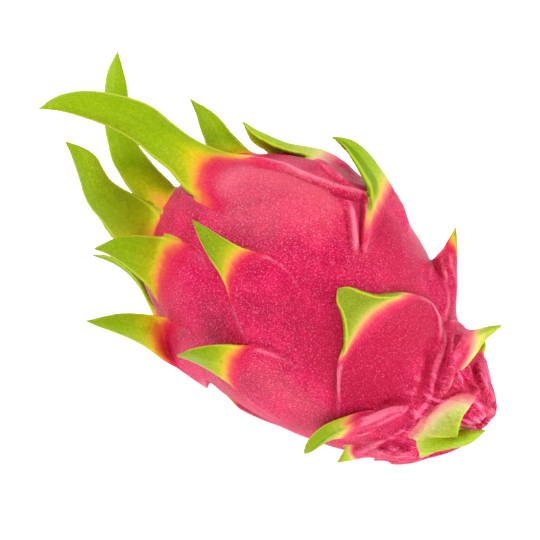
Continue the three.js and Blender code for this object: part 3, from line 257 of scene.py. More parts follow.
        (-5.1, 47.5, 25, -5.3, 46.9, 22.3, -6.1, 45.6, 20.1, 1.6),
        (-8.4, 50.4, 21.7, -8.4, 50.4, 21.6, -8.4, 50.3, 21.5, 0.8),
    ]),
    "scale_back_2": (0.15, [
        (3.4, 35.8, 55.6, 1.5, 39.3, 41.9, -0.5, 37.4, 27.8, 2.8),
        (-4.4, 38.7, 59.6, -6.6, 43.4, 43.2, -9.1, 40.3, 26.3, 2.9),
        (-13.3, 41.3, 59.1, -15.4, 44.9, 44.3, -17.6, 42.6, 29.1, 2.8),
        (-21.3, 42.9, 56.3, -22.9, 44.9, 45, -24.5, 43.8, 33.5, 2.6),
        (-27.1, 44.3, 53.2, -27.8, 45.1, 45.5, -28.6, 44.9, 37.8, 2.3),
        (-32.3, 44.8, 51, -32.7, 45.6, 46, -33.3, 45.2, 41, 2),
        (-37.4, 45.8, 49.3, -37.6, 46.4, 46.6, -38, 46, 43.8, 1.6),
        (-42.3, 47.6, 47.2, -42.4, 47.6, 47.1, -42.4, 47.6, 46.9, 0.8),
    ]),
    "scale_back_3": (0.15, [
        (10.4, 31.4, 22.3, 8.9, 21.8, 10.6, 8.1, 8.3, 3.7, 2.8),
        (2.1, 36.7, 22.5, 0.2, 25.4, 8.1, -0.9, 8.6, 0.6, 2.9),
        (-7.8, 37.9, 19.4, -9.4, 26.9, 7.2, -10.5, 12.1, 0.1, 2.8),
        (-15.8, 36.4, 15.4, -17, 27.4, 6.9, -17.9, 16.6, 1.1, 2.6),
        (-22, 34.4, 11.6, -22.3, 28, 6.4, -22.6, 21, 2, 2.3),
        (-27.3, 33, 9, -27.4, 28.9, 5.4, -27.7, 24.2, 2.7, 2),
        (-32.3, 32.4, 6, -32.2, 30.2, 3.9, -32.5, 27.6, 2.5, 1.6),
        (-36.8, 32, 1.9, -36.8, 31.9, 1.9, -36.9, 31.8, 1.8, 0.8),
    ]),
    "scale_back_4": (0.15, [
        (40.5, 14.7, 19.3, 39.4, 6.8, 12.1, 38.9, -3.5, 9, 2.8),
        (34.4, 18.6, 17.6, 33.3, 8.8, 8.4, 32.7, -4.1, 5.2, 2.9),
        (28, 20, 13.9, 26.9, 10.7, 6.3, 26.4, -0.8, 2.9, 2.8),
        (22.7, 20.1, 9.5, 21.9, 12.7, 4.5, 21.4, 4.2, 1.4, 2.6),
        (19.5, 19.2, 6.2, 18.8, 14.2, 2.9, 17.5, 8.8, 0.3, 2.3),
        (16.2, 19, 3.2, 15.9, 15.8, 0.9, 14.9, 12.3, -0.6, 2),
        (13.5, 19.4, -0.1, 13.6, 17.7, -1.5, 12.8, 15.7, -2.3, 1.6),
        (11.7, 19.8, -4.2, 11.7, 19.6, -4.3, 11.7, 19.5, -4.3, 0.8),
    ]),
    "scale_bottom_1": (0.15, [
        (35.1, 3.7, 9.4, 34.8, -7.4, 7.8, 35.3, -18.1, 11, 2.8),
        (28.7, 6.1, 6.4, 28.6, -7.5, 3.9, 29.1, -20.7, 8.5, 2.9),
        (22.1, 5.3, 2.9, 21.9, -7, 1.4, 22.3, -19.1, 4.7, 2.8),
        (16.8, 2.8, -0.1, 16.7, -6.5, -0.7, 16.9, -15.8, 1.1, 2.6),
        (13.5, 0, -1.9, 13.1, -6.2, -2.2, 12.2, -12.3, -1.6, 2.3),
        (9.7, -1.8, -3.6, 9.6, -5.9, -4, 8.9, -9.8, -3.4, 2),
        (6.1, -3.3, -5.7, 6.2, -5.6, -6.1, 5.7, -7.8, -5.6, 1.6),
        (3, -5.2, -8.3, 2.9, -5.3, -8.3, 2.9, -5.5, -8.3, 0.8),
    ]),
    "scale_bottom_2": (0.15, [
        (6.8, 20.6, 9.1, 6, 7.6, 3.2, 6, -6.7, 2.1, 2.8),
        (-1.4, 24.2, 7.5, -2.4, 8.7, 0.1, -2.5, -8.7, -0.2, 2.9),
        (-10.5, 23, 4.9, -11.3, 8.8, -0.9, -11.4, -6.7, -1.6, 2.8),
        (-18.4, 19.5, 2.4, -18.9, 8.5, -1.1, -19.1, -3, -2.1, 2.6),
        (-24.2, 15.9, 0.6, -23.9, 8.4, -1.4, -23.6, 0.7, -2.5, 2.3),
        (-29, 13.1, -0.3, -28.8, 8.3, -1.9, -28.7, 3.2, -2.3, 2),
        (-33.9, 10.9, -1.5, -33.7, 8.2, -2.6, -33.7, 5.4, -2.6, 1.6),
        (-38.6, 8.4, -3.4, -38.6, 8.2, -3.4, -38.6, 8.1, -3.5, 0.8),
    ]),
    "scale_bottom_3": (0.15, [
        (8, -7.5, 2.4, 8.7, -21.2, 7, 10.2, -31.6, 16.8, 2.8),
        (-0.4, -5.3, -0.5, 0.3, -22.2, 4.1, 2, -34.7, 16.4, 2.9),
        (-9.3, -7.4, -1.6, -8.6, -22.4, 3, -7.2, -34.4, 13.2, 2.8),
        (-16.8, -11.2, -1.4, -16.2, -22.3, 2.6, -15.3, -32, 9.5, 2.6),
        (-20.9, -15.2, -0.9, -21.2, -22.3, 2.2, -21.5, -29, 6.2, 2.3),
        (-26, -17.7, -0.2, -26.1, -22.4, 1.6, -26.3, -26.6, 4.5, 2),
        (-31, -19.9, 0.1, -31, -22.6, 0.9, -31.1, -24.9, 2.6, 1.6),
        (-35.8, -22.8, -0.1, -35.8, -22.9, 0, -35.9, -23.1, 0.1, 0.8),
    ]),
    "stem_scale_back": (0.15, [
        (53.8, 11.4, 37.6, 52.7, 13.1, 30.3, 51.6, 11.3, 23.1, 2.8),
        (51.1, 15.5, 38.8, 50, 17.6, 29.6, 48.5, 14.6, 20.6, 2.9),
        (46.7, 19.2, 37.6, 45.6, 20.4, 29, 44.4, 17.9, 20.7, 2.8),
        (43.1, 22.2, 35.2, 42.1, 22.5, 28.6, 41.3, 21, 22.2, 2.6),
        (39.8, 24.7, 32.6, 40.1, 24.3, 28.3, 39.8, 23.1, 24.1, 2.3),
        (38.1, 26.8, 30.7, 38.6, 26.6, 27.9, 38.1, 25.8, 25.2, 2),
        (37.5, 29.3, 28.9, 38, 29.2, 27.4, 37.5, 28.8, 25.9, 1.6),
        (38.1, 31.9, 27, 38.1, 31.9, 26.9, 38.1, 31.9, 26.8, 0.8),
    ]),
    "stem_scale_under": (0.15, [
        (52.3, -1.1, 16, 52.3, -8.8, 16.4, 52.9, -15.1, 20.6, 2.8),
        (49.3, -1.1, 11.6, 49.6, -10.8, 11.9, 50.2, -18.8, 17.4, 2.9),
        (45.2, -3.6, 7.9, 45.4, -12.3, 8.8, 46, -20, 13.3, 2.8),
        (41.6, -6.9, 5.5, 41.8, -13.5, 6.7, 42.2, -19.6, 9.7, 2.6),
        (38.9, -10.1, 4.3, 39.6, -14.2, 5.3, 39.7, -18.1, 7.2, 2.3),
        (36.7, -12.3, 3.4, 37.4, -15, 3.9, 37.3, -17.5, 5.3, 2),
        (34.8, -14.2, 2.2, 35.2, -15.8, 2.3, 35.1, -17.1, 3.2, 1.6),
        (33.2, -16.5, 0.6, 33.2, -16.6, 0.7, 33.2, -16.8, 0.7, 0.8),
    ]),
    "crown_7": (0.15, [
        (-22.8, 36.7, 59.6, -24.4, 39.8, 48.6, -26, 39.6, 37.1, 2.9),
        (-31.3, 35, 62.2, -33.3, 39.4, 49, -35.1, 38, 35.1, 3),
        (-40.1, 33.5, 60.7, -41.9, 36.9, 49.3, -43.4, 35.8, 37.3, 2.9),
        (-46.9, 32.2, 58.4, -48.3, 34.4, 49.4, -49.5, 33.7, 40, 2.7),
        (-52.3, 30.6, 56.7, -52.8, 32.3, 49.2, -52.7, 32.5, 41.6, 2.5),
        (-58.1, 28.7, 55.4, -58.3, 30.6, 49, -58, 30.5, 42.3, 2.3),
        (-64.3, 28.9, 54.4, -64.1, 30.7, 48.8, -63.9, 30.5, 42.9, 2.2),
        (-70, 31.8, 53.1, -69.3, 33.1, 48.7, -69.3, 32.9, 44, 2),
        (-73.3, 36.3, 51.6, -72.6, 37, 48.7, -72.8, 36.9, 45.6, 1.6),
        (-74.4, 41.7, 49, -74.4, 41.7, 48.8, -74.4, 41.7, 48.7, 0.8),
    ]),
    "crown_8": (0.15, [
        (-24.7, 39.2, 32.7, -26.3, 33.9, 21.8, -27.6, 25.4, 13.1, 2.9),
        (-33.3, 39, 36.9, -35.4, 33.7, 23.2, -36.7, 22.9, 13.1, 3),
        (-42.3, 36.5, 37.8, -44.1, 31.8, 26.1, -45.2, 22.8, 17.1, 2.9),
        (-49.1, 33.7, 37.9, -50.5, 29.8, 28.7, -51.4, 23.1, 21.3, 2.7),
        (-54, 31.5, 37.6, -55.7, 27.9, 31.1, -56.6, 23.1, 25.2, 2.5),
        (-60.4, 29.1, 39.3, -61.9, 26.3, 33.5, -62.6, 21.8, 28.6, 2.3),
        (-67.3, 28.1, 40.5, -68.5, 25.7, 35.2, -69.3, 21.7, 31, 2.2),
        (-74.6, 28.4, 40.3, -75.3, 26.6, 36, -76.1, 23.4, 32.8, 2),
        (-80.6, 29.9, 38.6, -80.9, 28.7, 35.8, -81.6, 26.6, 33.7, 1.6),
        (-86, 31.8, 34.9, -86.1, 31.7, 34.8, -86.1, 31.6, 34.7, 0.8),
    ]),
    "crown_9": (0.15, [
        (-29.7, 22.2, 11.7, -30.4, 11.7, 6.8, -30.7, 0.2, 4.8, 2.9),
        (-38, 23.4, 14.3, -39.1, 11, 7.7, -39.2, -3, 6.2, 3),
        (-46.4, 20.6, 16.4, -47.3, 9.9, 11, -47.3, -2.1, 9.7, 2.9),
        (-52.6, 17.4, 17.9, -53.2, 8.9, 14.2, -53.3, -0.4, 12.8, 2.7),
        (-57.7, 15, 19.8, -58, 8, 16.8, -57.6, 0.5, 15.2, 2.5),
        (-63.3, 13.1, 22.5, -63.7, 7.1, 19.7, -63.2, 0.5, 18.6, 2.3),
        (-69.2, 11.5, 24.8, -69.6, 6.3, 22.1, -69.1, 0.5, 21.3, 2.2),
        (-75.4, 9.8, 26.2, -75.7, 5.7, 24, -75.4, 1, 23.4, 2),
        (-81, 8, 26.5, -81.2, 5.3, 25.1, -81, 2.2, 24.7, 1.6),
        (-86.7, 5.2, 25.7, -86.7, 5.1, 25.7, -86.7, 4.9, 25.6, 0.8),
    ]),
    "crown_10": (0.15, [
        (-28.9, -4, 4.2, -28.5, -16.1, 6.8, -27.7, -26.7, 13.1, 2.9),
        (-37.8, -1.9, 5.6, -37.6, -16.7, 7.8, -36.2, -29.1, 16.4, 3),
        (-46.3, -3.5, 9, -46.2, -16.2, 11.4, -45, -26.9, 18.6, 2.9),
        (-52.6, -5.6, 12.4, -52.4, -15.4, 14.8, -51.5, -24, 20.2, 2.7),
        (-57.8, -7.5, 15.5, -57.5, -14.8, 17.6, -56.4, -21.5, 21.1, 2.5),
        (-63.6, -7.7, 19.1, -63.4, -14.1, 20.7, -62.4, -19.9, 23.9, 2.3),
        (-69.8, -8, 22, -69.6, -13.7, 23.3, -68.7, -18.7, 26.3, 2.2),
        (-76.2, -8.9, 24.4, -76, -13.6, 25.2, -75.4, -17.5, 27.7, 2),
        (-82, -10.7, 25.8, -81.8, -13.7, 26.3, -81.5, -16.2, 28, 1.6),
        (-87.7, -13.9, 26.8, -87.7, -14, 26.9, -87.7, -14.2, 26.9, 0.8),
    ]),
    "crown_11": (0.15, [
        (-31.3, -27, 14.8, -30.2, -33.4, 22.4, -29, -37.4, 31.4, 2.9),
        (-39.5, -24.9, 14.5, -38.4, -33.5, 23.2, -36.7, -37.7, 34.5, 3),
        (-47, -24.2, 17.8, -46.1, -31.5, 25.3, -44.5, -35.4, 34.9, 2.9),
        (-52.8, -23.7, 21.4, -52.1, -29.2, 27.4, -50.9, -32.6, 34.8, 2.7),
        (-57.2, -22.9, 23.9, -57, -27.2, 29.3, -56, -30.3, 35.4, 2.5),
        (-62.8, -21.2, 26.7, -62.7, -25.2, 31.2, -61.8, -27.6, 36.6, 2.3),
        (-69, -20.3, 28.8, -68.8, -23.9, 32.7, -68.1, -25.9, 37.5, 2.2),
        (-75.4, -20.6, 30.6, -75.2, -23.6, 33.5, -74.7, -25.1, 37.5, 2),
        (-81, -22.3, 31.8, -80.7, -24.3, 33.7, -80.5, -25.2, 36.3, 1.6),
        (-86.2, -25.6, 33.3, -86.1, -25.7, 33.4, -86.1, -25.7, 33.5, 0.8),
    ]),
    "crown_12": (0.15, [
        (-40.2, 34.3, 42.2, -41, 33.2, 36.6, -41.8, 31.2, 31.4, 2.9),
        (-45.6, 33.5, 44.4, -46.9, 32.9, 37.6, -47.5, 29.9, 31.3, 3),
        (-51.1, 31.2, 44.8, -52.1, 30.5, 39, -52.7, 28.1, 33.5, 2.9),
        (-55.2, 29.5, 44.7, -56, 28.8, 40.1, -56.5, 27, 35.8, 2.7),
        (-58.5, 27.9, 46.8, -59.8, 27, 41.2, -60.3, 24.8, 36, 2.5),
        (-63, 25.7, 47.4, -64.2, 25.2, 42.5, -64.5, 22.9, 38, 2.3),
        (-67.8, 24, 48, -68.8, 23.8, 43.6, -69.2, 21.6, 39.7, 2.2),
        (-72.9, 23, 48.1, -73.6, 22.9, 44.7, -73.9, 21.1, 41.6, 2),
        (-77.5, 22.7, 47.7, -77.9, 22.7, 45.4, -78.2, 21.5, 43.5, 1.6),
        (-82.1, 22.9, 46.2, -82.2, 22.9, 46.1, -82.2, 22.9, 45.9, 0.8),
    ]),
    "crown_13": (0.15, [
        (-44.5, 2.7, 11.9, -44.5, -3, 11.7, -44.5, -8.7, 12.3, 2.9),
        (-50, 4, 13.6, -50.3, -2.9, 12.8, -49.9, -9.8, 14.1, 3),
        (-55, 3.2, 16.5, -55.4, -2.7, 15.9, -55, -8.6, 16.9, 2.9),
        (-58.9, 2.1, 18.7, -59.1, -2.5, 18.4, -58.9, -7.1, 19.1, 2.7),
        (-62.3, 3.5, 21.4, -62.9, -2.2, 21.1, -62.6, -7.9, 22, 2.5),
        (-66.6, 3, 24.5, -67.3, -2, 23.9, -66.9, -6.9, 25, 2.3),
        (-71.4, 2.7, 27.1, -72, -1.7, 26.4, -71.6, -6, 27.6, 2.2),
        (-76.4, 2, 29.1, -76.8, -1.5, 28.4, -76.6, -4.9, 29.5, 2),
        (-81, 1, 30.2, -81.3, -1.3, 29.7, -81.2, -3.5, 30.4, 1.6),
        (-85.8, -0.9, 30.6, -85.8, -1.1, 30.7, -85.8, -1.2, 30.7, 0.8),
    ]),
    "crown_14": (0.15, [
        (-41.2, -33.7, 35.8, -40.4, -34.6, 41.4, -39.6, -34.6, 46.9, 2.9),
        (-46.9, -32.7, 35.6, -46.2, -34.4, 42.3, -45, -33.8, 49, 3),
        (-52.1, -30.7, 37.7, -51.5, -32.1, 43.4, -50.5, -31.7, 49.2, 2.9),
        (-56, -29.2, 39.8, -55.5, -30.1, 44.4, -54.7, -30, 48.9, 2.7),
        (-61, -26.3, 39.9, -60.3, -27.6, 45.5, -59, -27.5, 51.1, 2.5),
        (-66.5, -23.6, 42, -66, -25, 46.8, -64.7, -24.6, 51.7, 2.3),
        (-72.4, -21.5, 43.9, -71.9, -22.9, 48.1, -70.8, -22.4, 52.4, 2.2),
        (-78.5, -20.4, 46, -78.1, -21.6, 49.4, -77.3, -21.1, 52.8, 2),
        (-83.9, -20.3, 48.2, -83.6, -21.1, 50.4, -83.1, -20.8, 52.6, 1.6),
        (-89.1, -21.3, 51.2, -89.1, -21.3, 51.4, -89, -21.3, 51.5, 0.8),
    ]),
}

# name: (row where the pink ends, row where it is green, rows gained at the left margin, at the right margin, tone of the green
# from 0 lime to 1 olive, how whitish it is,
# how narrow the margin is)
RIPEN = {
    "crown_1": (2.1, 4.2, 1.9, 0.9, 0.1, 0.0, 2.2), "crown_2": (-1.2, 3.4, 0.3, 0.3, 0.0, 0.0, 3), "crown_3": (0.4, 2.4, 0.2, 0.2, 0.2, 0.0, 3),
    "crown_4": (0.9, 2.3, 0.0, 0.3, 0.2, 0.0, 3), "scale_top": (1.9, 4.2, 0.5, 0.1, 0.1, 0.9, 4), "scale_right_top": (2.2, 4.0, 0.2, 0.5, 0.0, 0.3, 5),
    "scale_front": (2.75, 3.75, 0.4, 0.4, 0.95, 0.25, 4), "scale_low": (4.4, 5.7, 0.7, 0.0, 0.3, 0.25, 4), "scale_under": (5.3, 6.2, 0.2, 0.2, 0.2, 0.5, 3),
    "stem_scale_front": (0.7, 3.4, 0.2, -0.9, 0.1, 1.0, 2), "stem_scale_low": (0.4, 1.4, 0, 0, 0.0, 0.75, 3), "stem_scale_right": (4.3, 6.6, -0.4, 1.9, 0.0, 0.6, 3),
    "stem_scale_edge": (2.3, 3.3, 0, 0, 0.2, 0.0, 3), "scale_right": (4.5, 5.8, -0.3, 2.0, 0.3, 0.0, 4),
    "scale_left": (3.2, 4.7, 0.6, 0.6, 0.6, 0.0, 4), "scale_low_left": (3.2, 4.7, 0.6, 0.6, 0.4, 0.0, 4), "crown_5": (2.1, 3.9, 0.6, 0.5, 0.2, 0.0, 3),
    "crown_6": (2.1, 3.9, 0.5, 0.5, 0.2, 0.0, 3), "stem_scale_under": (9, 12, 0, 0, 0.3, 0.0, 3),
}
RIPEN_BODY = (3.2, 4.8, 0.6, 0.6, 0.4, 0.05, 4)
RIPEN_STEM = (3.4, 5.2, 0.7, 0.7, 0.3, 0.1, 4)
RIPEN_CROWN = (2.5, 4.4, 0.7, 0.7, 0.2, 0.0, 2.5)

# painted shade on one half of a folded scale, for its shaded face: the right one, and how far from the keel that starts
SHADED_HALF = {"scale_right_top": (1, 0.52), "scale_right": (1, 0.0)}

# ridges and creases: height, half width, how pale (or dark, below 0), and the line on the skin; the paleness is a
# painted highlight on a ridge and the darkness painted shade in a crease; lines of height 0 only colour the skin, with
# painted light and shade and deeper patches of crimson
STROKES = {
    "ridge_crown_margin": (1.27, 1, 0.8, [(-40.6, 6.4, 82.1), (-33, 7.2, 84.7), (-25.7, 8.1, 85.9), (-18.3, 7, 87.1), (-13, 7.6, 87.3), (-6.5, 9.9, 86), (-2.5, 13.2, 84), (0.4, 17.8, 81.2)]),
    "crease_flap": (-1.6, 1.2, -1, [(-6.8, 5.9, 86.9), (-3.5, 7.9, 85.8), (-0.4, 10.3, 84.4), (1.9, 13.4, 82.6)]),
    "ridge_margin_right_top": (1.12, 0.8, 0.9, [(5.9, 13.4, 83.1), (8.3, 8.9, 82.9), (10.5, 5.4, 82.4), (12.9, 1.4, 81.5), (15.1, -2.7, 80.1)]),
    "ridge_lip_right": (1.27, 1, 0.75, [(29.5, -7.3, 72.3), (31.6, -2.2, 69.3), (33.6, 3.8, 64.7), (36.4, 5.7, 61.6), (40.3, 3.9, 60.5), (43.6, 0.3, 59.1), (46.2, -4.2, 58.2)]),
    "crease_lip_above": (-1.36, 1.1, -0.9, [(26.9, -5.7, 71.4), (29.5, -1.4, 69.3), (31.6, 3.7, 66.4), (33.9, 7.6, 62.6)]),
    "crease_panel_left": (-1.3, 1.1, -0.7, [(27.3, -31.2, 55.4), (27.4, -32.7, 50.2), (27.7, -33.9, 44.7), (28.7, -34.4, 40)]),
    "ridge_panel_left": (0.91, 0.8, 0.6, [(26.6, -28.5, 61.5), (27.4, -30.7, 57), (28, -32.4, 51.3), (28.6, -33.5, 45.9)]),
    "crease_low_lip": (-1.53, 1.2, -0.8, [(39.4, -31.8, 45.8), (42.3, -27.2, 46.6), (46, -23.9, 47.7), (49.4, -21.1, 47.9)]),
    "ridge_low_lip": (1.46, 0.9, 0.9, [(35.9, -38.9, 42.3), (38.6, -36.9, 43.9), (40.8, -34.7, 45.1), (43.5, -31, 46.6), (45.6, -27.6, 47.4), (48.3, -24.4, 47.6), (50.1, -22.5, 47.2)]),
    "under_crease_1": (-1.4, 0.9, -0.9, [(39.2, -30.7, 22.4), (43.2, -31.2, 28.2), (46.3, -29.2, 31.2)]),
    "under_fold_1": (1.2, 0.9, 0.7, [(38.9, -31.8, 28), (43.5, -29.8, 32.2), (46.7, -27.9, 33.9)]),
    "under_crease_2": (-1.4, 0.9, -0.9, [(45.7, -28.5, 32.7), (49.6, -27.3, 31.4), (53, -25.5, 31.3), (55.1, -23.8, 29.7)]),
    "scale_right_fold": (0.5, 0.9, 0.4, [(27.4, 25, 60.5), (31.6, 22, 59), (34.8, 19.4, 56.4)]),
    "scale_right_crease": (-0.6, 0.7, -0.8, [(27.1, 27.6, 62.1), (30.7, 24.1, 61.4), (33.2, 22.5, 58.6), (34.7, 21.9, 56.3)]),
    "crease_crown_margin": (-0.8, 1.2, -0.7, [(-34.8, 2.5, 85.2), (-28.4, 4.1, 86.2), (-21.7, 5, 87.1), (-15.1, 5, 87.7), (-9.6, 6.3, 87.3), (-4.2, 9, 85.8)]),
    "crease_flap_2": (-0.7, 0.9, -0.6, [(-15.3, 15.1, 85), (-10.5, 14.2, 85.2), (-5.6, 13, 84.8)]),
    # pools paint patches on the skin: painted glare on the top, painted sheen along the right edge, painted light on
    # the stem end and the low lip, painted shade under a margin, and darker crimson in the panels that is partly
    # painted shade
    "pool_panel": (0, 11, -1, [(29.8, -26.1, 62.2), (34.6, -21.1, 62), (36.5, -13.2, 64.8), (37.3, -5.5, 65.4)]),
    "pool_panel_2": (0, 8, -0.6, [(32.3, -30.8, 49.1), (37.1, -26.8, 50.9), (42.5, -22, 52.3)]),
    "pool_deep_right": (0, 8, -0.6, [(11.6, 11.9, 79.1), (17.8, 6.7, 76.9), (23.7, 3.1, 73.4), (27.8, 0.9, 70.5)]),
    "pool_mid": (0, 12, -0.45, [(8.2, -26.9, 72.2), (16.7, -28.5, 65.4), (21, -31.9, 57.3)]),
    "pool_left_low": (0, 9, 0.55, [(7, -41.5, 50.1), (15.9, -38.8, 41.4), (24.9, -36.2, 37.7)]),
    "painted_glare_top": (0, 9, 0.9, [(-40.3, -10, 82.9), (-32, -1.9, 86.2), (-18.9, 2.5, 87.7), (-5.9, 2.6, 87.2)]),
    "painted_glare_top_2": (0, 9, 0.45, [(-25.2, -18.1, 82.7), (-12.9, -12.9, 86), (0.7, -8.2, 84.9)]),
    "painted_shade_under_margin": (0, 5, -0.8, [(8.5, 10.3, 82.9), (8.7, 14.8, 79.7), (15.3, 12.4, 76.5)]),
    "painted_sheen_right_edge": (0, 6, 0.8, [(6.7, 31.1, 71.1), (11.6, 32.1, 61.3), (19.6, 29.4, 56)]),
    "painted_light_low_lip": (0, 5, 0.5, [(35, -37.3, 43.5), (41.7, -32.8, 46.2), (47.5, -26.9, 46.1)]),
    "pool_low": (0, 6, -0.35, [(34.8, -34, 30), (43.5, -30.2, 37.2), (49.4, -25.3, 41)]),
    "fold_margin_2": (1.3, 1.25, 1, [(1.7, 7.5, 84.5), (4.8, 4.7, 83.9), (7.9, 1.3, 83), (11.3, -2.4, 81.6), (14, -6, 79.9)]),
    "crease_margin_1": (-1.2, 0.6, -0.9, [(1.1, 15.6, 81.9), (4.9, 10.2, 82.7), (8.4, 4.8, 82.5), (11.5, 0.2, 81.6), (14.3, -3.8, 80.1)]),
    "crease_margin_3": (-0.9, 0.9, -0.7, [(1.4, 5.4, 85), (5.2, 1.2, 84.1), (9.1, -3, 82.5), (11.8, -5.9, 81.1)]),
    "fold_margin_4": (0.6, 0.5, 0.8, [(3.1, 14.8, 81.8), (6.7, 9.5, 82.4), (10.1, 4.1, 82.2), (13, -0.4, 81.2)]),
    "fold_flap_2": (0.9, 0.9, 0.3, [(-21.1, 20.6, 82.1), (-13.9, 17.6, 84.4), (-8.1, 15.9, 84.4), (-3.7, 14.9, 83.6)]),
    "pool_red_spot": (0, 3.2, -0.9, [(-1.7, 8.8, 85.2), (0.3, 9.5, 84.4)]),
    "crease_panel_right": (-2.1, 1.2, -1, [(44.8, -5.8, 59.1), (46.6, -9.3, 57.3), (48.4, -13, 54.7), (49.8, -16.3, 51.4), (50.1, -19.8, 48.1), (50.2, -23.7, 46), (49.1, -25.5, 42.4)]),
    "ridge_panel_right_2": (1.6, 0.9, 1, [(44.6, 0.9, 58.3), (48, -2.9, 57.8), (49.2, -7.8, 57.2), (50, -11.7, 55), (51.3, -14.4, 52.3), (52.8, -15.7, 50.1)]),
    "crease_right_1": (-1.7, 0.8, -1, [(47, -0.9, 57.8), (51.2, -6.1, 58.2), (52.4, -10.4, 55.6), (53.2, -13.6, 52.5), (54, -16.4, 48.3), (54.2, -18.9, 45.4)]),
    "fold_right_1": (1.7, 0.85, 1, [(50.3, 5.6, 57.8), (53.7, -2.9, 62.6), (53.7, -5.8, 59.6), (55, -9.6, 56.8), (55.5, -12.8, 52.5), (55.2, -15.1, 48.5)]),
    "crease_right_2": (-1.4, 0.7, -1, [(54.1, 2.1, 61), (56.2, -4.4, 62.5), (56.4, -7.4, 59.6), (56.9, -9.6, 56.3), (55.5, -10.7, 49.5)]),
    "fold_right_3": (0.9, 0.55, 0.8, [(46.7, 3.1, 57), (50.5, -2.2, 58.4), (52.2, -6.8, 58)]),
    "crease_right_4": (-1, 0.5, -0.9, [(48.4, 3.8, 56.5), (52, -2.9, 59.7), (52.8, -6.3, 58.5)]),
    "fold_low_right": (1.5, 0.8, 1, [(53.1, -15.7, 49.9), (52.6, -18.4, 47.2), (52.2, -21.4, 44.8), (51.2, -23.8, 40.4), (49.9, -25.5, 36.5)]),
    "crease_low_right": (-1.4, 0.8, -1, [(55.7, -15.7, 47.4), (55, -18.9, 45.1), (54, -21.5, 42.3), (52.2, -24, 38.3), (50.4, -25.5, 34.9)]),
    "fold_low_right_2": (1, 0.6, 0.9, [(56.8, -14, 47.7), (56.1, -17.3, 46.3), (55.2, -19.6, 44.4), (54.4, -21.9, 41.5)]),
    "stem_fold_1": (1.6, 0.7, 1, [(56.7, 3.8, 49), (59.5, 1.3, 48.3), (61.8, 0.6, 45.3), (64.2, 2.1, 39.6)]),
    "stem_crease_1": (-1.6, 0.7, -1, [(55.9, 2.7, 49.3), (58.9, 0, 48.1), (61.5, -1.1, 45.6), (63.5, -0.2, 41.8)]),
    "stem_fold_2": (1.4, 0.7, 0.9, [(55.9, -0.4, 50.2), (58.3, -2.1, 48.1), (61.3, -3.5, 46.6), (62.8, -2.2, 43.1)]),
    "stem_crease_2": (-1.4, 0.6, -1, [(55.9, -3.5, 50.5), (58.3, -4.4, 48.3), (60.8, -5.8, 47.4)]),
    "stem_fold_3": (1.2, 0.6, 0.9, [(55.7, -6, 50.7), (57.7, -7, 48.6), (59.5, -7.9, 47.9)]),
    "stem_crease_3": (-1.7, 0.8, -1, [(62.7, -6.2, 46.7), (63.7, -2.8, 41.8), (65, -0.2, 38.9), (64.8, 4.3, 33)]),
    "stem_fold_4": (1.5, 0.8, 1, [(62.4, -5.7, 43.1), (64, -3.8, 41), (65.4, -1.2, 37.6), (64.4, 4.4, 29.5)]),
    "stem_crease_4": (-1.2, 0.6, -0.9, [(62.9, -9.9, 39), (63.7, -7.2, 40), (64.4, -4.8, 39.8), (65.4, -2.3, 37.7)]),
    "stem_fold_5": (1.3, 0.8, 0.9, [(63.5, -9.9, 36.9), (64.3, -7.3, 38.1), (65.2, -4.4, 37.5), (63.8, 3.1, 28.8)]),
    "stem_crease_5": (-1.2, 0.6, -0.9, [(64.5, -8.2, 35.5), (62.7, 0.7, 27.7), (64, 2.9, 27.6)]),
    "stem_crease_6": (-1.3, 0.7, -1, [(62.4, -5.7, 43.1), (62.2, -8.7, 41.8), (62.2, -10.7, 39.7), (62.4, -11.7, 37.3)]),
    "crease_low_2": (-1.5, 0.9, -1, [(47.8, -26.8, 40.7), (49.2, -25.2, 43.2), (50.3, -23.7, 45.6)]),
    "ridge_low_3": (1.1, 0.8, 0.9, [(46.7, -27.9, 35.4), (49, -26, 37.9), (50.9, -24, 40.4)]),
    "line_ssf": (0.8, 0.6, 1, [(49.7, -26, 34.3), (52.1, -23.9, 38.7), (54.2, -20.7, 43.2), (55.7, -17.8, 46), (56.8, -14, 47.7), (58.3, -10.6, 48.1), (60.4, -8.1, 47.8), (62.6, -6.7, 47.1)]),
    "crease_ssf": (-1.2, 0.7, -1, [(48.7, -26.4, 36.5), (50.9, -24, 40.4), (52.8, -20.7, 44.6), (54.2, -17.3, 46.9), (55.5, -13.9, 48.8), (57, -10, 48.5), (59.1, -7.2, 47.9)]),
    "line_ssf_right": (0.3, 0.5, 0.8, [(62.8, -7, 46.7), (63.6, -12.9, 47.3), (64.2, -17.4, 46.7), (65.6, -20.7, 44.5)]),
    "dent_top_right": (-1.2, 3.5, 0, [(-17.6, 26.7, 79.8), (-13, 26.1, 79.6), (-8.4, 23.8, 80.2)]),
    "dent_low": (-0.8, 2.5, 0, [(45.1, -26.5, 21.3), (50.7, -23.1, 20.9), (54.9, -16.4, 18.7)]),
    "bulge_stem": (1.2, 3.5, 0, [(65.2, 0.9, 38), (64.3, 4, 29.3), (63.8, 2.5, 25.7)]),
    "under_fold_2": (1.3, 0.9, 0.8, [(47.4, -28.5, 31.4), (50.5, -27.2, 30), (53.1, -25.2, 28), (54.7, -22.7, 25.7)]),
    "under_fold_3": (1.1, 0.8, 0.7, [(43.1, -31.2, 29.2), (46.8, -29.6, 28.4), (49.1, -27, 25.5)]),
    "low_fold_4": (1, 0.8, 0.8, [(42, -32.8, 41.6), (44.7, -30.4, 43.8), (46.8, -28, 46), (48.7, -25.4, 46.5)]),
    "low_crease_4": (-1, 0.7, -0.8, [(42.5, -31.1, 37.8), (45.5, -28.9, 40.4), (47.7, -26.8, 43.1), (49.8, -24.5, 44.4)]),
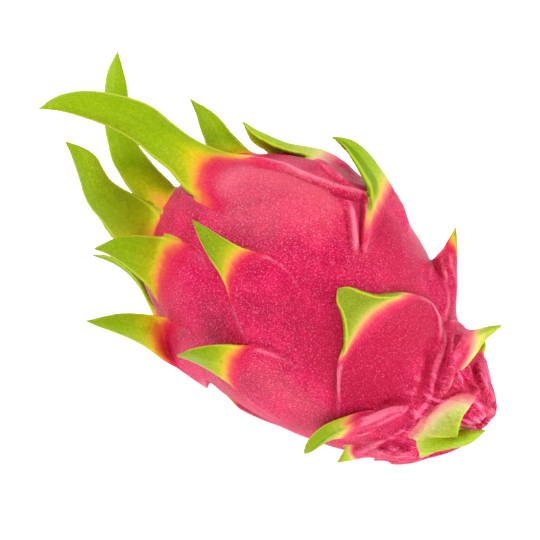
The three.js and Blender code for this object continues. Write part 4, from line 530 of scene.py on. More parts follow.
    "low_fold_5": (0.8, 0.7, 0.7, [(36.2, -35.1, 34.2), (38.9, -33.5, 35.8), (42.1, -31.6, 38.5)]),
    "line_lip_thin": (0.5, 0.5, 1, [(27.6, -11.2, 74.4), (28.9, -5.1, 70.3), (31.4, -0.7, 68.2), (33.1, 3.3, 65.3), (35.2, 5.7, 62.4), (38.6, 4.5, 61.6), (41.3, 3, 60), (44.2, 0.1, 58.8)]),
    "line_panel_left": (0.5, 0.5, 0.9, [(26.9, -28, 62.8), (26.8, -29.3, 60), (27.3, -30.8, 56.9), (27.8, -32, 52.7), (28.4, -33.1, 48.3)]),
    "line_low_lip": (0.5, 0.5, 1, [(33.8, -39.6, 39.8), (36.8, -38.6, 42.5), (39.5, -36, 44.4), (41.9, -33.1, 45.9), (44.1, -29.7, 47.1), (46.3, -26.5, 47.6), (48.8, -23.4, 47.6)]),
    "line_srt": (0.5, 0.5, 1, [(5.2, 14.9, 83), (8.3, 10, 83), (10.8, 5.6, 82.4), (13.1, 1.6, 81.5), (14.6, -1.8, 80.5)]),
    "painted_light_stem": (0, 5, 0.7, [(55.8, -2.5, 62.9), (57, -7.1, 59.8), (55.6, -9.1, 50), (56.9, -14.7, 47.5)]),
    "painted_light_stem_end": (0, 5, 0.6, [(60.6, 2.2, 47.3), (63.8, 0.7, 41.1), (65.2, -3.4, 38)]),
    "dent_stem_right": (-2.3, 4.2, 0, [(56.7, 12.6, 39.9), (58.9, 11.3, 37.5), (60.9, 9.8, 35.7)]),
    "right_fold_1": (0.6, 1.3, 0.35, [(29.2, 22.1, 58.3), (34.5, 17.9, 57.4), (38.6, 12.5, 56.9), (41.6, 6.1, 57.7)]),
    "right_crease_1": (-0.7, 1, -0.6, [(34.9, 19.8, 56.2), (38.2, 16.3, 54.5), (41.6, 9.2, 55.9), (43.8, 2.7, 58.2)]),
    "under_scale_top": (2, 2.2, 0, [(-34.8, 23.6, 74.3), (-32.5, 25, 74.3), (-29.5, 25.5, 75.5)]),
    "fill_top": (1.3, 1.7, 0, [(-17.8, 28.2, 77), (-15.3, 27, 77.3), (-12.8, 26, 77.3)]),
    "under_scale_top_2": (2.2, 1.7, 0, [(-34.6, 25, 75.2), (-32.4, 25.2, 76), (-30.2, 24.8, 77)]),
    "fill_stem_edge": (0.9, 1.2, 0, [(53.4, 12.2, 45.7), (52.9, 14.4, 45.2), (54, 15.6, 43.9)]),
}


def catmull(rows, u):
    P = np.asarray(rows, float)
    u = np.atleast_1d(np.asarray(u, float))
    n = len(P)
    i = np.clip(np.floor(u).astype(int), 0, n - 2)
    f = (u - i)[:, None]
    a, b, c, d = P[np.maximum(i - 1, 0)], P[i], P[i + 1], P[np.minimum(i + 2, n - 1)]
    return 0.5 * (2 * b + (c - a) * f + (2 * a - 5 * b + 4 * c - d) * f * f + (3 * b - a - 3 * c + d) * f ** 3)


def smooth(a, b, x):
    t = np.clip((x - a) / (b - a), 0, 1)
    return t * t * (3 - 2 * t)


def noise(P, size, seed):
    """smooth value noise, -1 to 1, the same on every run"""
    q = P / size + seed * 17.31
    i = np.floor(q).astype(np.int64)
    f = q - i
    f = f * f * (3 - 2 * f)
    out = np.zeros(len(P))
    for dx in (0, 1):
        for dy in (0, 1):
            for dz in (0, 1):
                h = ((i[:, 0] + dx) * 374761393 + (i[:, 1] + dy) * 668265263 + (i[:, 2] + dz) * 1440670441 + seed * 1274126177) & 0xFFFFFFFF
                h = ((h ^ (h >> 13)) * 1274126177) & 0xFFFFFFFF
                h = ((h ^ (h >> 15)) * 2246822519) & 0xFFFFFFFF
                v = ((h ^ (h >> 16)) & 0xFFFF) / 32767.5 - 1
                w = (f[:, 0] if dx else 1 - f[:, 0]) * (f[:, 1] if dy else 1 - f[:, 1]) * (f[:, 2] if dz else 1 - f[:, 2])
                out += w * v
    return out


def body_point(u, turn):
    """u 0 to 1 from the stem end to the crown, turn from the top towards the back"""
    c = catmull(BODY, np.asarray(u).ravel() * (len(BODY) - 1))
    turn = np.asarray(turn).ravel()
    r = np.maximum(c[:, 1], 0) * (1 + 0.015 * np.cos(3 * turn + 0.6) + 0.012 * np.cos(2 * turn - 0.4))
    return (MID + c[:, :1] * AX + (0.587 * c[:, 2] + r * np.cos(turn))[:, None] * UP
            + (0.81 * c[:, 2] + r * np.sin(turn))[:, None] * SIDE)


def body_mesh(rings, sides):
    even = np.linspace(0, 1, rings + 1)
    us = 0.5 * even + 0.25 * (1 - np.cos(math.pi * even))
    turns = np.arange(sides) * 2 * math.pi / sides
    V = [body_point([0.0], [0.0])] + [body_point(np.full(sides, u), turns) for u in us[1:-1]] + [body_point([1.0], [0.0])]
    V = np.vstack(V)
    at = lambda k, j: 1 + (k - 1) * sides + j % sides
    F = []
    for j in range(sides):
        F.append((0, at(1, j), at(1, j + 1)))
        F.append((len(V) - 1, at(rings - 1, j + 1), at(rings - 1, j)))
        for k in range(1, rings - 1):
            F.append((at(k, j), at(k + 1, j + 1), at(k, j + 1)))
            F.append((at(k, j), at(k + 1, j), at(k + 1, j + 1)))
    return V, np.array(F)


def blade(sharp, rows, n_along, n_across, trim=1.0, edge=0.3):
    """a scale's middle surface, its normals and thickness; rows go from the root to the tip"""
    R = np.array(rows, float)
    u = np.linspace(0, len(R) - 1, n_along + 1)
    C = catmull(R, u)
    L, K, Rr, th = C[:, 0:3], C[:, 3:6], C[:, 6:9], np.maximum(C[:, 9], 0.5)
    th = np.maximum(th * (1 - (1 - trim) * smooth(0.15, 0.6, u / (len(R) - 1))), 0.7)
    q = np.linspace(0, 1, n_across)[None, :, None]
    ctrl = 2 * K - (L + Rr) / 2
    rounded = (1 - q) ** 2 * L[:, None] + 2 * q * (1 - q) * ctrl[:, None] + q * q * Rr[:, None]
    folded = np.where(q < .5, L[:, None] + (K - L)[:, None] * 2 * q, K[:, None] + (Rr - K)[:, None] * (2 * q - 1))
    M = rounded * (1 - sharp) + folded * sharp
    N = np.cross(np.gradient(M, axis=1), np.gradient(M, axis=0))
    ln = np.linalg.norm(N, axis=2, keepdims=True)
    for i in range(1, len(N)):
        if ln[i].min() < 1e-6:
            N[i], ln[i] = N[i - 1], ln[i - 1]
    N = N / np.maximum(ln, 1e-9)
    e = np.abs(2 * q[..., 0] - 1)
    T = th[:, None] * (edge + (1 - edge) * np.sqrt(np.maximum(1 - e ** 3, 0)))
    return M, N, np.maximum(T, 0.62)


def closed(M, N, T):
    a, b = M.shape[:2]
    V = np.vstack([(M + N * T[..., None] / 2).reshape(-1, 3), (M - N * T[..., None] / 2).reshape(-1, 3)])
    o = a * b
    i, j = np.meshgrid(np.arange(a - 1), np.arange(b - 1), indexing="ij")
    k = (i * b + j).ravel()
    r = np.arange(a - 1) * b
    r2 = r + b - 1
    c = np.arange(b - 1)
    c2 = (a - 1) * b + c
    F = [np.stack(x, 1) for x in ([k, k + 1, k + b + 1, k + b], [o + k, o + k + b, o + k + b + 1, o + k + 1], [r, r + b, o + r + b, o + r],
                                  [r2, o + r2, o + r2 + b, r2 + b], [c, o + c, o + c + 1, c + 1], [c2, c2 + 1, o + c2 + 1, o + c2])]
    return V, np.vstack(F)


# ------------------------------------------------------------------ one solid: a distance field that everything is fused in
lo = np.floor(np.array([-119.0, -64, -4]) / VOXEL).astype(int)
hi = np.ceil(np.array([75.0, 56, 106]) / VOXEL).astype(int)
field = np.full(tuple(hi - lo + 1), BAND, np.float32)


def part_of(a, b):
    """the slice of the field between two corners in mm, and its own low corner in cells"""
    a = np.maximum(np.floor(np.asarray(a) / VOXEL).astype(int), lo)
    b = np.minimum(np.ceil(np.asarray(b) / VOXEL).astype(int), hi)
    return tuple(slice(x, y + 1) for x, y in zip(a - lo, b - lo)), a, b


def fuse(V, F, k):
    at, a, b = part_of(V.min(0) - BAND, V.max(0) + BAND)
    kind = "triangles" if F.shape[1] == 3 else "quads"
    grid = vdb.FloatGrid.createLevelSetFromPolygons(V.astype(np.float32), transform=vdb.createLinearTransform(voxelSize=VOXEL),
                                                    halfWidth=BAND / VOXEL, **{kind: F.astype(np.uint32)})
    new = np.empty(tuple(b - a + 1), np.float32)
    grid.copyToArray(new, ijk=tuple(int(x) for x in a))
    old = field[at]
    if k == FUSE:
        scale_field[at] = np.minimum(scale_field[at], new)
    h = np.maximum(k - np.abs(old - new), 0) / k
    field[at] = np.minimum(old, new) - h * h * k * 0.25


def cells(at, a):
    """positions in mm of a slice's cells"""
    n = field[at].shape
    g = np.meshgrid(*[(np.arange(n[i]) + a[i]) * VOXEL for i in range(3)], indexing="ij")
    return np.stack(g, -1)


def line_distance(P, line):
    """distance from each point to a line of points"""
    best = np.full(len(P), 1e9)
    for p, q in zip(line[:-1], line[1:]):
        d = q - p
        t = np.clip(((P - p) @ d) / max(d @ d, 1e-9), 0, 1)
        best = np.minimum(best, ((P - p - t[:, None] * d) ** 2).sum(1))
    return np.sqrt(best)


BV, BF = body_mesh(130, 180)
fuse(BV, BF, 0.5)
body_field = field.copy()
scale_field = np.full_like(field, BAND)
blades = {}
for name, (sharp, rows) in SCALES.items():
    M, N, T = blade(sharp, rows, 80, 27, trim=0.74)
    blades[name] = (sharp, rows)
    fuse(*closed(M, N, T), FUSE)


def axis_of(P):
    """distance along the body's axis, distance from it and turn from the top"""
    d = P - MID
    t = d @ AX
    prof = np.array(BODY)
    off = np.interp(t, prof[3:17, 0], prof[3:17, 2])
    a, b = d @ UP - 0.587 * off, d @ SIDE - 0.81 * off
    return t, np.hypot(a, b), np.arctan2(b, a)


# the skin isn't smooth: broad swells, and folds that gather towards the stem
near = np.flatnonzero((np.abs(field) < 1.6).ravel() & (body_field < 2.2).ravel())
ijk = np.stack(np.unravel_index(near, field.shape), 1)
P = (ijk + lo) * VOXEL
t, rad, turn = axis_of(P)
swell = 0.45 * noise(P, 17.0, 1) + 0.22 * noise(P, 8.0, 2) + 0.10 * noise(P, 3.6, 3)
gather = smooth(-38, -56, t)
ring = np.stack([np.cos(turn) * 9.0, np.sin(turn) * 9.0, t * 0.085], 1) + 0.6 * np.stack([noise(P, 9.0, 4), noise(P, 9.0, 5), noise(P, 12.0, 6)], 1)
fold = np.minimum(np.abs(noise(ring, 1.9, 7)) * 2.6, 1) ** 0.75 - 0.6
fold2 = np.minimum(np.abs(noise(ring, 0.95, 8)) * 2.6, 1) ** 0.75 - 0.6
crumple = gather * (1.8 * fold + 0.9 * fold2) + 0.28 * smooth(-18, -44, t) * fold2
beside, clear = body_field.ravel()[near], scale_field.ravel()[near]
crumple = crumple * (1 - smooth(0.1, 1.3, beside)) * (0.35 + 0.65 * smooth(0.2, 1.6, clear))
swell = swell * (1 - 0.7 * smooth(0.4, 1.6, beside))
crumple = crumple * (0.45 + 0.55 * smooth(-66, -60, t))
drop = (swell + crumple).astype(np.float32)
flat = field.ravel()
flat[near] -= drop
field = flat.reshape(field.shape)
del flat, ijk, P, ring


def stroke(line, height, width):
    line = np.asarray(line, float)
    if len(line) < 2 or not height:
        return
    pad = 3.2 * width + 1
    at, a, b = part_of(line.min(0) - pad, line.max(0) + pad)
    X = cells(at, a)
    d = line_distance(X.reshape(-1, 3), line)
    # it fades towards both ends
    ends = np.minimum(np.linalg.norm(X.reshape(-1, 3) - line[0], axis=1), np.linalg.norm(X.reshape(-1, 3) - line[-1], axis=1))
    w = height * np.exp(-(np.maximum(d - 0.25, 0) / width) ** 2) * (0.35 + 0.65 * smooth(0, 4.0, ends))
    field[at] -= w.reshape(X.shape[:3]).astype(np.float32)


margins = []
for name, (sharp, rows) in SCALES.items():
    R = np.array(rows, float)
    fine = catmull(R, np.linspace(0.35, min(3.0, len(R) - 2), 14))
    for k in (0, 6):
        margins.append(fine[:, k:k + 3])
for line in margins:
    stroke(line, 0.55, 0.8)
for name, (height, width, tone, line) in STROKES.items():
    stroke(line, height, width)

# the flat spot that it rests on
z = (np.arange(lo[2], hi[2] + 1) * VOXEL)[None, None, :]
field = np.maximum(field, -(z - 0.02)).astype(np.float32)

grid = vdb.FloatGrid(float(BAND))
grid.transform = vdb.createLinearTransform(voxelSize=VOXEL)
grid.copyFromArray(field, ijk=tuple(int(x) for x in lo), tolerance=0.0)
points, tris, quads = grid.convertToPolygons(0.0, 0.0)
points = np.array(points, float)
quads = np.array(quads).reshape(-1, 4).astype(np.int64)
tris = np.array(tris).reshape(-1, 3).astype(np.int64)
faces = np.vstack([quads[:, [0, 1, 2]], quads[:, [0, 2, 3]], tris])

# keep the one connected body
parent = np.arange(len(points))
links = np.vstack([faces[:, [0, 1]], faces[:, [1, 2]]])
while True:
    a, b = parent[links[:, 0]], parent[links[:, 1]]
    apart = a != b
    if not apart.any():
        break
    links = links[apart]
    np.minimum.at(parent, np.maximum(a, b)[apart], np.minimum(a, b)[apart])
    while True:
        up = parent[parent]
        if (up == parent).all():
            break
        parent = up
keep = np.bincount(parent[faces[:, 0]], minlength=len(points)).argmax()
faces = faces[parent[faces[:, 0]] == keep]


def make_object(name, V, F):
    me = bpy.data.meshes.new(name)
    me.vertices.add(len(V))
    me.vertices.foreach_set("co", np.asarray(V, np.float32).ravel())
    me.loops.add(F.size)
    me.loops.foreach_set("vertex_index", F.astype(np.int32).ravel())
    me.polygons.add(len(F))
    me.polygons.foreach_set("loop_start", (np.arange(len(F)) * F.shape[1]).astype(np.int32))
    me.update(calc_edges=True)
    me.validate()
    ob = bpy.data.objects.new(name, me)
    bpy.context.scene.collection.objects.link(ob)
    return ob


used, index = np.unique(faces, return_inverse=True)
fruit = make_object("fruit_skin", points[used] * 0.001, index.reshape(faces.shape))
bpy.context.view_layer.objects.active = fruit
fruit.select_set(True)
# the mesh stays fine along the ridges and creases
co = points[used]
far = np.ones(len(co), bool)
for line, reach in [(np.asarray(l, float), 0.9 + 0.5 * w) for h, w, p, l in STROKES.values() if h and p and len(l) > 1] + [(l, 1.0) for l in margins]:
    k = np.flatnonzero(((co > line.min(0) - reach) & (co < line.max(0) + reach)).all(1))
    far[k[line_distance(co[k], line) < reach]] = False
group = fruit.vertex_groups.new(name="thin")
group.add([int(k) for k in np.flatnonzero(far)], 1.0, "REPLACE")
thin = fruit.modifiers.new("thin", "DECIMATE")
thin.vertex_group, thin.vertex_group_factor = "thin", 0.001
thin.ratio = min(1.0, TRIANGLES / len(faces))
bpy.ops.object.modifier_apply(modifier="thin")
me = fruit.data
print("triangles", len(faces), "->", len(me.polygons))

# ------------------------------------------------------------------ where each point of the skin is: on which scale, and how far along
n = len(me.vertices)
V = np.empty(n * 3, np.float32)
me.vertices.foreach_get("co", V)
V = V.reshape(-1, 3).astype(float) * 1000
nor = np.empty(n * 3, np.float32)
me.vertices.foreach_get("normal", nor)
nor = nor.reshape(-1, 3).astype(float)

names = list(SCALES)
pts, nrm, du, dq, info = [], [], [], [], []
for b, name in enumerate(names):
    sharp, rows = SCALES[name]
    M, N, T = blade(sharp, rows, 96, 33, trim=0.74)
    U = np.gradient(M, axis=0)
    Q = np.gradient(M, axis=1)
    outward = np.sign(((M[10:30] - MID - ((M[10:30] - MID) @ AX)[..., None] * AX) * N[10:30]).sum(2).mean())
    along = np.concatenate([[0], np.cumsum(np.linalg.norm(np.diff(M[:, 16], axis=0), axis=1))])
    i, j = np.meshgrid(np.arange(M.shape[0]), np.arange(M.shape[1]), indexing="ij")
    wide = np.linalg.norm(np.diff(M, axis=1), axis=2).sum(1)
    keepers = (i < M.shape[0] - 1) | (j == 16)
    pts.append(M[keepers]); nrm.append((N * outward)[keepers]); du.append(U[keepers]); dq.append(Q[keepers])
    info.append(np.stack([np.full(M.shape[:2], b), i, j, T, np.broadcast_to(along[:, None], M.shape[:2]), np.broadcast_to(wide[:, None], M.shape[:2]),
                          np.full(M.shape[:2], along[-1])], -1)[keepers])
pts, nrm, du, dq, info = map(np.vstack, (pts, nrm, du, dq, info))
tree = KDTree(len(pts))
for k, p in enumerate(pts):
    tree.insert(p, k)
tree.balance()
near = np.fromiter((tree.find(p)[1] for p in V), np.int64, n)
d = V - pts[near]
off = (d * nrm[near]).sum(1)
U, Q, I = du[near], dq[near], info[near]
uu, qq, uq = (U * U).sum(1), (Q * Q).sum(1), (U * Q).sum(1)
a, b = (d * U).sum(1), (d * Q).sum(1)
det = np.maximum(uu * qq - uq * uq, 1e-6)
step_u = np.clip((a * qq - b * uq) / det, -1, 1)
step_q = np.clip((b * uu - a * uq) / det, -1, 1)
row_u = np.clip(I[:, 1] + step_u, 0, 96)
across = np.clip(I[:, 2] + step_q, 0, 32) / 16 - 1
last = np.array([len(SCALES[k][1]) - 1 for k in names])[I[:, 0].astype(int)]
rows_at = row_u / 96 * last
rest = d - step_u[:, None] * U - step_q[:, None] * Q
gap = np.linalg.norm(rest, axis=1)
on = 1 - smooth(0.25, 1.7, gap - I[:, 3] / 2)
tip_mm = I[:, 6] - (I[:, 4] + step_u * np.sqrt(uu))


def ripening(name):
    if name in RIPEN:
        return RIPEN[name]
    return RIPEN_STEM if name.startswith("stem") else RIPEN_CROWN if name.startswith("crown") else RIPEN_BODY


table = np.array([ripening(k) for k in names])[I[:, 0].astype(int)]
edge = np.abs(across)
gain = np.where(across < 0, table[:, 2], table[:, 3]) * edge ** table[:, 6]
ripe = (rows_at + gain - table[:, 0]) / (table[:, 1] - table[:, 0])
ripe = np.clip(ripe, -0.6, 2.2) * on + (-0.6) * (1 - on)
inner = smooth(0.15, -0.25, off) * on
t, rad, turn = axis_of(V)

# tone: painted highlight on ridges and painted shade in creases; pools: painted light and shade, with deeper patches of
# crimson
tone, painted_light_and_tone = np.zeros(n), np.zeros(n)
d = V - MID
outward = d @ AX
outward = (d - outward[:, None] * AX) / 43 ** 2 + outward[:, None] * AX / 66 ** 2
outward /= np.linalg.norm(outward, axis=1)[:, None]


def beside_line(P, out, line):
    """distance from a line of points that lies under or over the skin, measured along the skin"""
    best = np.full(len(P), 1e9)
    for p, q in zip(line[:-1], line[1:]):
        d = q - p
        t = np.clip(((P - p) @ d) / max(d @ d, 1e-9), 0, 1)
        v = P - p - t[:, None] * d
        up = np.clip((v * out).sum(1), -1.8, 1.8)
        r = ((v - up[:, None] * out) ** 2).sum(1)
        best = np.minimum(best, r)
    return np.sqrt(best)


# strokes with no height paint pools of light and shade; the others paint a highlight along a ridge and shade along a
# crease
for name, (height, width, pale, line) in STROKES.items():
    line = np.asarray(line, float)
    if len(line) < 2:
        continue
    reach = max(4, 2.5 * width)
    box = ((V > line.min(0) - reach) & (V < line.max(0) + reach)).all(1)
    k = np.flatnonzero(box)
    if len(k) and not height:
        painted_light_and_tone[k] += pale * np.exp(-(line_distance(V[k], line) / width) ** 2)
    elif len(k):
        d3 = beside_line(V[k], outward[k], line)
        w = pale * (0.45 * np.exp(-(d3 / width) ** 2) + 0.55 * np.exp(-(d3 / (0.25 + 0.35 * width)) ** 2))
        ends = np.minimum(np.linalg.norm(V[k] - line[0], axis=1), np.linalg.norm(V[k] - line[-1], axis=1))
        w *= 0.3 + 0.7 * smooth(0, 4.0, ends)
        tone[k] = np.where(np.abs(w) > np.abs(tone[k]), w, tone[k])
# painted highlight along every raised scale margin
for line in margins:
    box = ((V > line.min(0) - 4) & (V < line.max(0) + 4)).all(1)
    k = np.flatnonzero(box)
    if len(k):
        w = 0.35 * np.exp(-(beside_line(V[k], outward[k], line) / 0.8) ** 2)
        tone[k] = np.where((tone[k] >= 0) & (w > tone[k]), w, tone[k])

# creases are where the skin bends inwards, ridges where it bends outwards; the skin colour takes a painted highlight on
# the ridges and painted shade in the creases from this
e = np.empty(len(me.edges) * 2, np.int32)
me.edges.foreach_get("vertices", e)
e = e.reshape(-1, 2)
dv = V[e[:, 1]] - V[e[:, 0]]
ln = np.maximum(np.linalg.norm(dv, axis=1), 1e-6)
c = ((nor[e[:, 1]] - nor[e[:, 0]]) * dv).sum(1) / ln ** 2
curve = np.zeros(n); count = np.zeros(n)
for k in (0, 1):
    np.add.at(curve, e[:, k], c)
    np.add.at(count, e[:, k], 1)
curve /= np.maximum(count, 1)
for _ in range(3):
    s = np.zeros(n)
    for k in (0, 1):
        np.add.at(s, e[:, k], curve[e[:, 1 - k]])
    curve = 0.5 * curve + 0.5 * s / np.maximum(count, 1)

cx, cn = 67.0, 9.0
navel = smooth(9.0, 5.5, np.linalg.norm(V - (MID + 67 * AX), axis=1))
stem_scar = smooth(3.4, 2.0, np.linalg.norm(V - (MID - 63 * AX - 1.2 * 0.587 * UP - 1.2 * 0.81 * SIDE), axis=1))


def attribute(name, values):
    at = me.attributes.new(name, "FLOAT", "POINT")
    at.data.foreach_set("value", np.asarray(values, np.float32))


attribute("ripe", ripe)
attribute("on_scale", on)
attribute("edge", edge)
attribute("across_mm", across * I[:, 5] / 2)
attribute("tip_mm", tip_mm)
attribute("inner", inner)
attribute("green_tone", table[:, 4])
attribute("whitish", table[:, 5])
# which half of a folded scale gets painted shade
half = np.array([SHADED_HALF.get(k, (0, 9)) for k in names], float)[I[:, 0].astype(int)]
attribute("half_shade", half[:, 0] * across - half[:, 1])
attribute("keel", np.array([SCALES[k][0] for k in names])[I[:, 0].astype(int)])
# tone: painted highlight on the ridges, painted shade in the creases
attribute("tone", tone)
attribute("painted_light_and_tone", painted_light_and_tone)
attribute("curve", curve)
attribute("gather", smooth(-40, -56, t))
attribute("ring_x", 9 * np.cos(turn))
attribute("ring_y", 9 * np.sin(turn))
attribute("ring_z", 0.11 * t)
attribute("navel", navel)
attribute("stem_scar", stem_scar)
attribute("scale_id", I[:, 0])
me.shade_smooth()


# ------------------------------------------------------------------ materials
def colour(r, g, b):
    f = lambda c: c / 12.92 if c <= 0.04045 else ((c + 0.055) / 1.055) ** 2.4
    return (f(r / 255), f(g / 255), f(b / 255), 1.0)


class Nodes:
    def __init__(self, name):
        self.material = bpy.data.materials.new(name)
        self.material.use_nodes = True
        self.tree = self.material.node_tree
        self.shader = self.tree.nodes["Principled BSDF"]

    def link(self, value, socket):
        if isinstance(value, bpy.types.NodeSocket):
            self.tree.links.new(value, socket)
        else:
            socket.default_value = value

    def add(self, kind, outputs=0, props=(), **inputs):
        node = self.tree.nodes.new(kind)
        for k, v in props:
            setattr(node, k, v)
        for k, v in inputs.items():
            self.link(v, node.inputs[int(k[1:])] if k[0] == "i" and k[1:].isdigit() else node.inputs[k.replace("_", " ")])
        return node.outputs[outputs]

    def attr(self, name):
        return self.add("ShaderNodeAttribute", "Fac", props=[("attribute_name", name)])

    def math(self, op, a, b=0.0, clamp=False):
        return self.add("ShaderNodeMath", 0, props=[("operation", op), ("use_clamp", clamp)], i0=a, i1=b)

    def mix(self, fac, a, b, blend="MIX"):
        node = self.tree.nodes.new("ShaderNodeMix")
        node.data_type, node.blend_type = "RGBA", blend
        self.link(fac, node.inputs[0]); self.link(a, node.inputs[6]); self.link(b, node.inputs[7])
        return node.outputs[2]

    def range(self, value, a, b, c=0.0, d=1.0, smoothly=True):
        return self.add("ShaderNodeMapRange", 0, props=[("interpolation_type", "SMOOTHSTEP" if smoothly else "LINEAR")], i0=value, i1=a, i2=b, i3=c, i4=d)

    def noise(self, vector, scale, detail=2.0, rough=0.5):
        return self.add("ShaderNodeTexNoise", "Fac", Vector=vector, Scale=scale, Detail=detail, Roughness=rough)

    def dots(self, vector, scale, output="Distance", rand=1.0):
        return self.add("ShaderNodeTexVoronoi", output, Vector=vector, Scale=scale, Randomness=rand)

    def ramp(self, fac, stops):
        node = self.tree.nodes.new("ShaderNodeValToRGB")
        el = node.color_ramp.elements
        while len(el) < len(stops):
            el.new(0.5)
        for k, (p, c) in enumerate(stops):
            el[k].position, el[k].color = p, c
        self.link(fac, node.inputs[0])
        return node.outputs[0]


m = Nodes("fruit_skin")
where = m.add("ShaderNodeTexCoord", "Object")
big = m.noise(where, 55, 3)
mid = m.noise(where, 160, 4, 0.6)
fine = m.noise(where, 900, 4, 0.65)
speck = m.dots(where, 1250)
grain = m.noise(where, 2100, 2, 0.6)
deep, pink, pale = colour(188, 0, 72), colour(220, 0, 92), colour(250, 108, 146)
skin = m.mix(m.range(big, 0.32, 0.68), deep, pink)
skin = m.mix(m.math("MULTIPLY", m.range(mid, 0.40, 0.70), 0.45), skin, colour(240, 48, 106))
blot = m.noise(where, 95, 4, 0.55)
skin = m.mix(m.math("MULTIPLY", m.range(blot, 0.48, 0.30), 0.55), skin, colour(200, 0, 66))
# the pools: painted shade as darker crimson and painted glare and sheen as pale salmon, mixed with the skin's own
# random tone
painted_light_and_tone = m.math("ADD", m.attr("painted_light_and_tone"), m.math("MULTIPLY", m.math("SUBTRACT", mid, 0.5), 0.35))
skin = m.mix(m.math("MULTIPLY", m.range(painted_light_and_tone, -0.05, -1.0), 0.85), skin, colour(192, 0, 68))
skin = m.mix(m.math("MULTIPLY", m.range(painted_light_and_tone, 0.05, 1.0), 0.60), skin, colour(234, 112, 122))
# painted highlight on the ridges (pale) and painted shade in the creases (dark red)
tone = m.attr("tone")
curve = m.attr("curve")
ridge_highlight = m.math("MAXIMUM", m.range(tone, 0.05, 0.9), m.math("MULTIPLY", m.range(curve, 0.08, 0.45), 0.8))
skin = m.mix(m.math("MULTIPLY", ridge_highlight, 0.70), skin, colour(255, 156, 178))
crease_shade = m.math("MAXIMUM", m.range(tone, -0.1, -0.9), m.math("MULTIPLY", m.range(curve, -0.05, -0.35), 0.9))
skin = m.mix(m.math("MULTIPLY", crease_shade, 0.80), skin, colour(178, 0, 58))
# fine folds gather towards the stem; painted light brightens the stem end, which lies in shadow, the fold crests get a
# painted highlight and the valleys painted shade
gather = m.math("MULTIPLY", m.attr("gather"), m.range(m.attr("navel"), 0.5, 0.0))
ring = m.add("ShaderNodeCombineXYZ", 0, i0=m.attr("ring_x"), i1=m.attr("ring_y"), i2=m.attr("ring_z"))
folds = m.noise(ring, 0.75, 4, 0.6)
valley = m.math("MULTIPLY", m.range(m.math("ABSOLUTE", m.math("SUBTRACT", folds, 0.5)), 0.075, 0.012), gather)
crest = m.math("MULTIPLY", m.range(m.math("ABSOLUTE", m.math("SUBTRACT", folds, 0.5)), 0.09, 0.18), gather)
skin = m.mix(m.math("MULTIPLY", gather, 0.60), skin, colour(255, 44, 124))
skin = m.mix(m.math("MULTIPLY", crest, 0.75), skin, colour(255, 164, 198))
skin = m.mix(m.math("MULTIPLY", valley, 0.92), skin, colour(178, 0, 60))
# a fine stipple of paler dots
dot = m.math("MULTIPLY", m.range(speck, 0.42, 0.12), m.range(fine, 0.40, 0.62))
much = m.math("MULTIPLY", m.range(painted_light_and_tone, -1.0, 0.6, 0.55, 1.15), m.range(crease_shade, 0.2, 1.0, 1.0, 0.5))
skin = m.mix(m.math("MULTIPLY", m.math("MULTIPLY", m.range(grain, 0.50, 0.66), 0.50), much), skin, pale)
skin = m.mix(m.math("MULTIPLY", m.math("MULTIPLY", dot, 0.55), much), skin, colour(255, 158, 184))
skin = m.mix(m.math("MULTIPLY", m.range(grain, 0.48, 0.30), 0.45), skin, colour(186, 0, 64))
# scales turn from pink through orange and yellow to green towards the tip
id_ = m.attr("scale_id")
along = m.add("ShaderNodeCombineXYZ", 0, i0=m.math("MULTIPLY", m.attr("tip_mm"), 0.07), i1=m.math("MULTIPLY", m.attr("across_mm"), 1.15), i2=m.math("MULTIPLY", id_, 7.7))
streak = m.noise(along, 1.0, 4, 0.6)
ripe = m.math("ADD", m.attr("ripe"), m.math("MULTIPLY", m.math("SUBTRACT", mid, 0.5), m.range(m.attr("whitish"), 0.0, 0.8, 0.34, 0.06)))
ripe = m.math("ADD", ripe, m.math("MULTIPLY", m.math("SUBTRACT", streak, 0.5), 0.22))
turning = m.range(ripe, -0.5, 1.5, 0, 1, smoothly=False)
lime = m.ramp(turning, [(0.0, colour(210, 6, 80)), (0.24, colour(222, 34, 84)), (0.34, colour(234, 92, 78)), (0.43, colour(246, 158, 70)), (0.52, colour(238, 206, 34)),
                        (0.62, colour(208, 208, 4)), (0.80, colour(172, 196, 0)), (1.0, colour(156, 190, 0))])
olive = m.ramp(turning, [(0.0, colour(210, 6, 80)), (0.24, colour(220, 44, 86)), (0.34, colour(232, 108, 88)), (0.43, colour(240, 170, 88)), (0.52, colour(206, 186, 70)),
                         (0.62, colour(160, 164, 40)), (0.80, colour(138, 138, 38)), (1.0, colour(126, 130, 34))])
cream = m.ramp(turning, [(0.0, colour(212, 8, 84)), (0.22, colour(232, 84, 118)), (0.34, colour(246, 170, 160)), (0.45, colour(236, 216, 160)), (0.58, colour(216, 224, 130)),
                         (0.74, colour(202, 216, 92)), (1.0, colour(176, 202, 36))])
leaf = m.mix(m.attr("green_tone"), lime, olive)
leaf = m.mix(m.attr("whitish"), leaf, cream)
grown = m.range(turning, 0.38, 0.62)
leaf = m.mix(m.math("MULTIPLY", m.range(grain, 0.50, 0.66), m.range(turning, 0.15, 0.55, 0.5, 0.0)), leaf, pale)
leaf = m.mix(m.math("MULTIPLY", m.math("MULTIPLY", m.range(streak, 0.35, 0.7), grown), 0.25), leaf, m.mix(0.5, leaf, colour(214, 222, 80)))
leaf = m.mix(m.math("MULTIPLY", m.math("MULTIPLY", m.range(blot, 0.45, 0.62), grown), 0.22), leaf, m.mix(0.7, leaf, colour(120, 160, 0)))
leaf = m.mix(m.math("MULTIPLY", m.math("MULTIPLY", m.range(fine, 0.66, 0.4), grown), 0.32), leaf, m.mix(0.6, leaf, colour(92, 128, 0)))
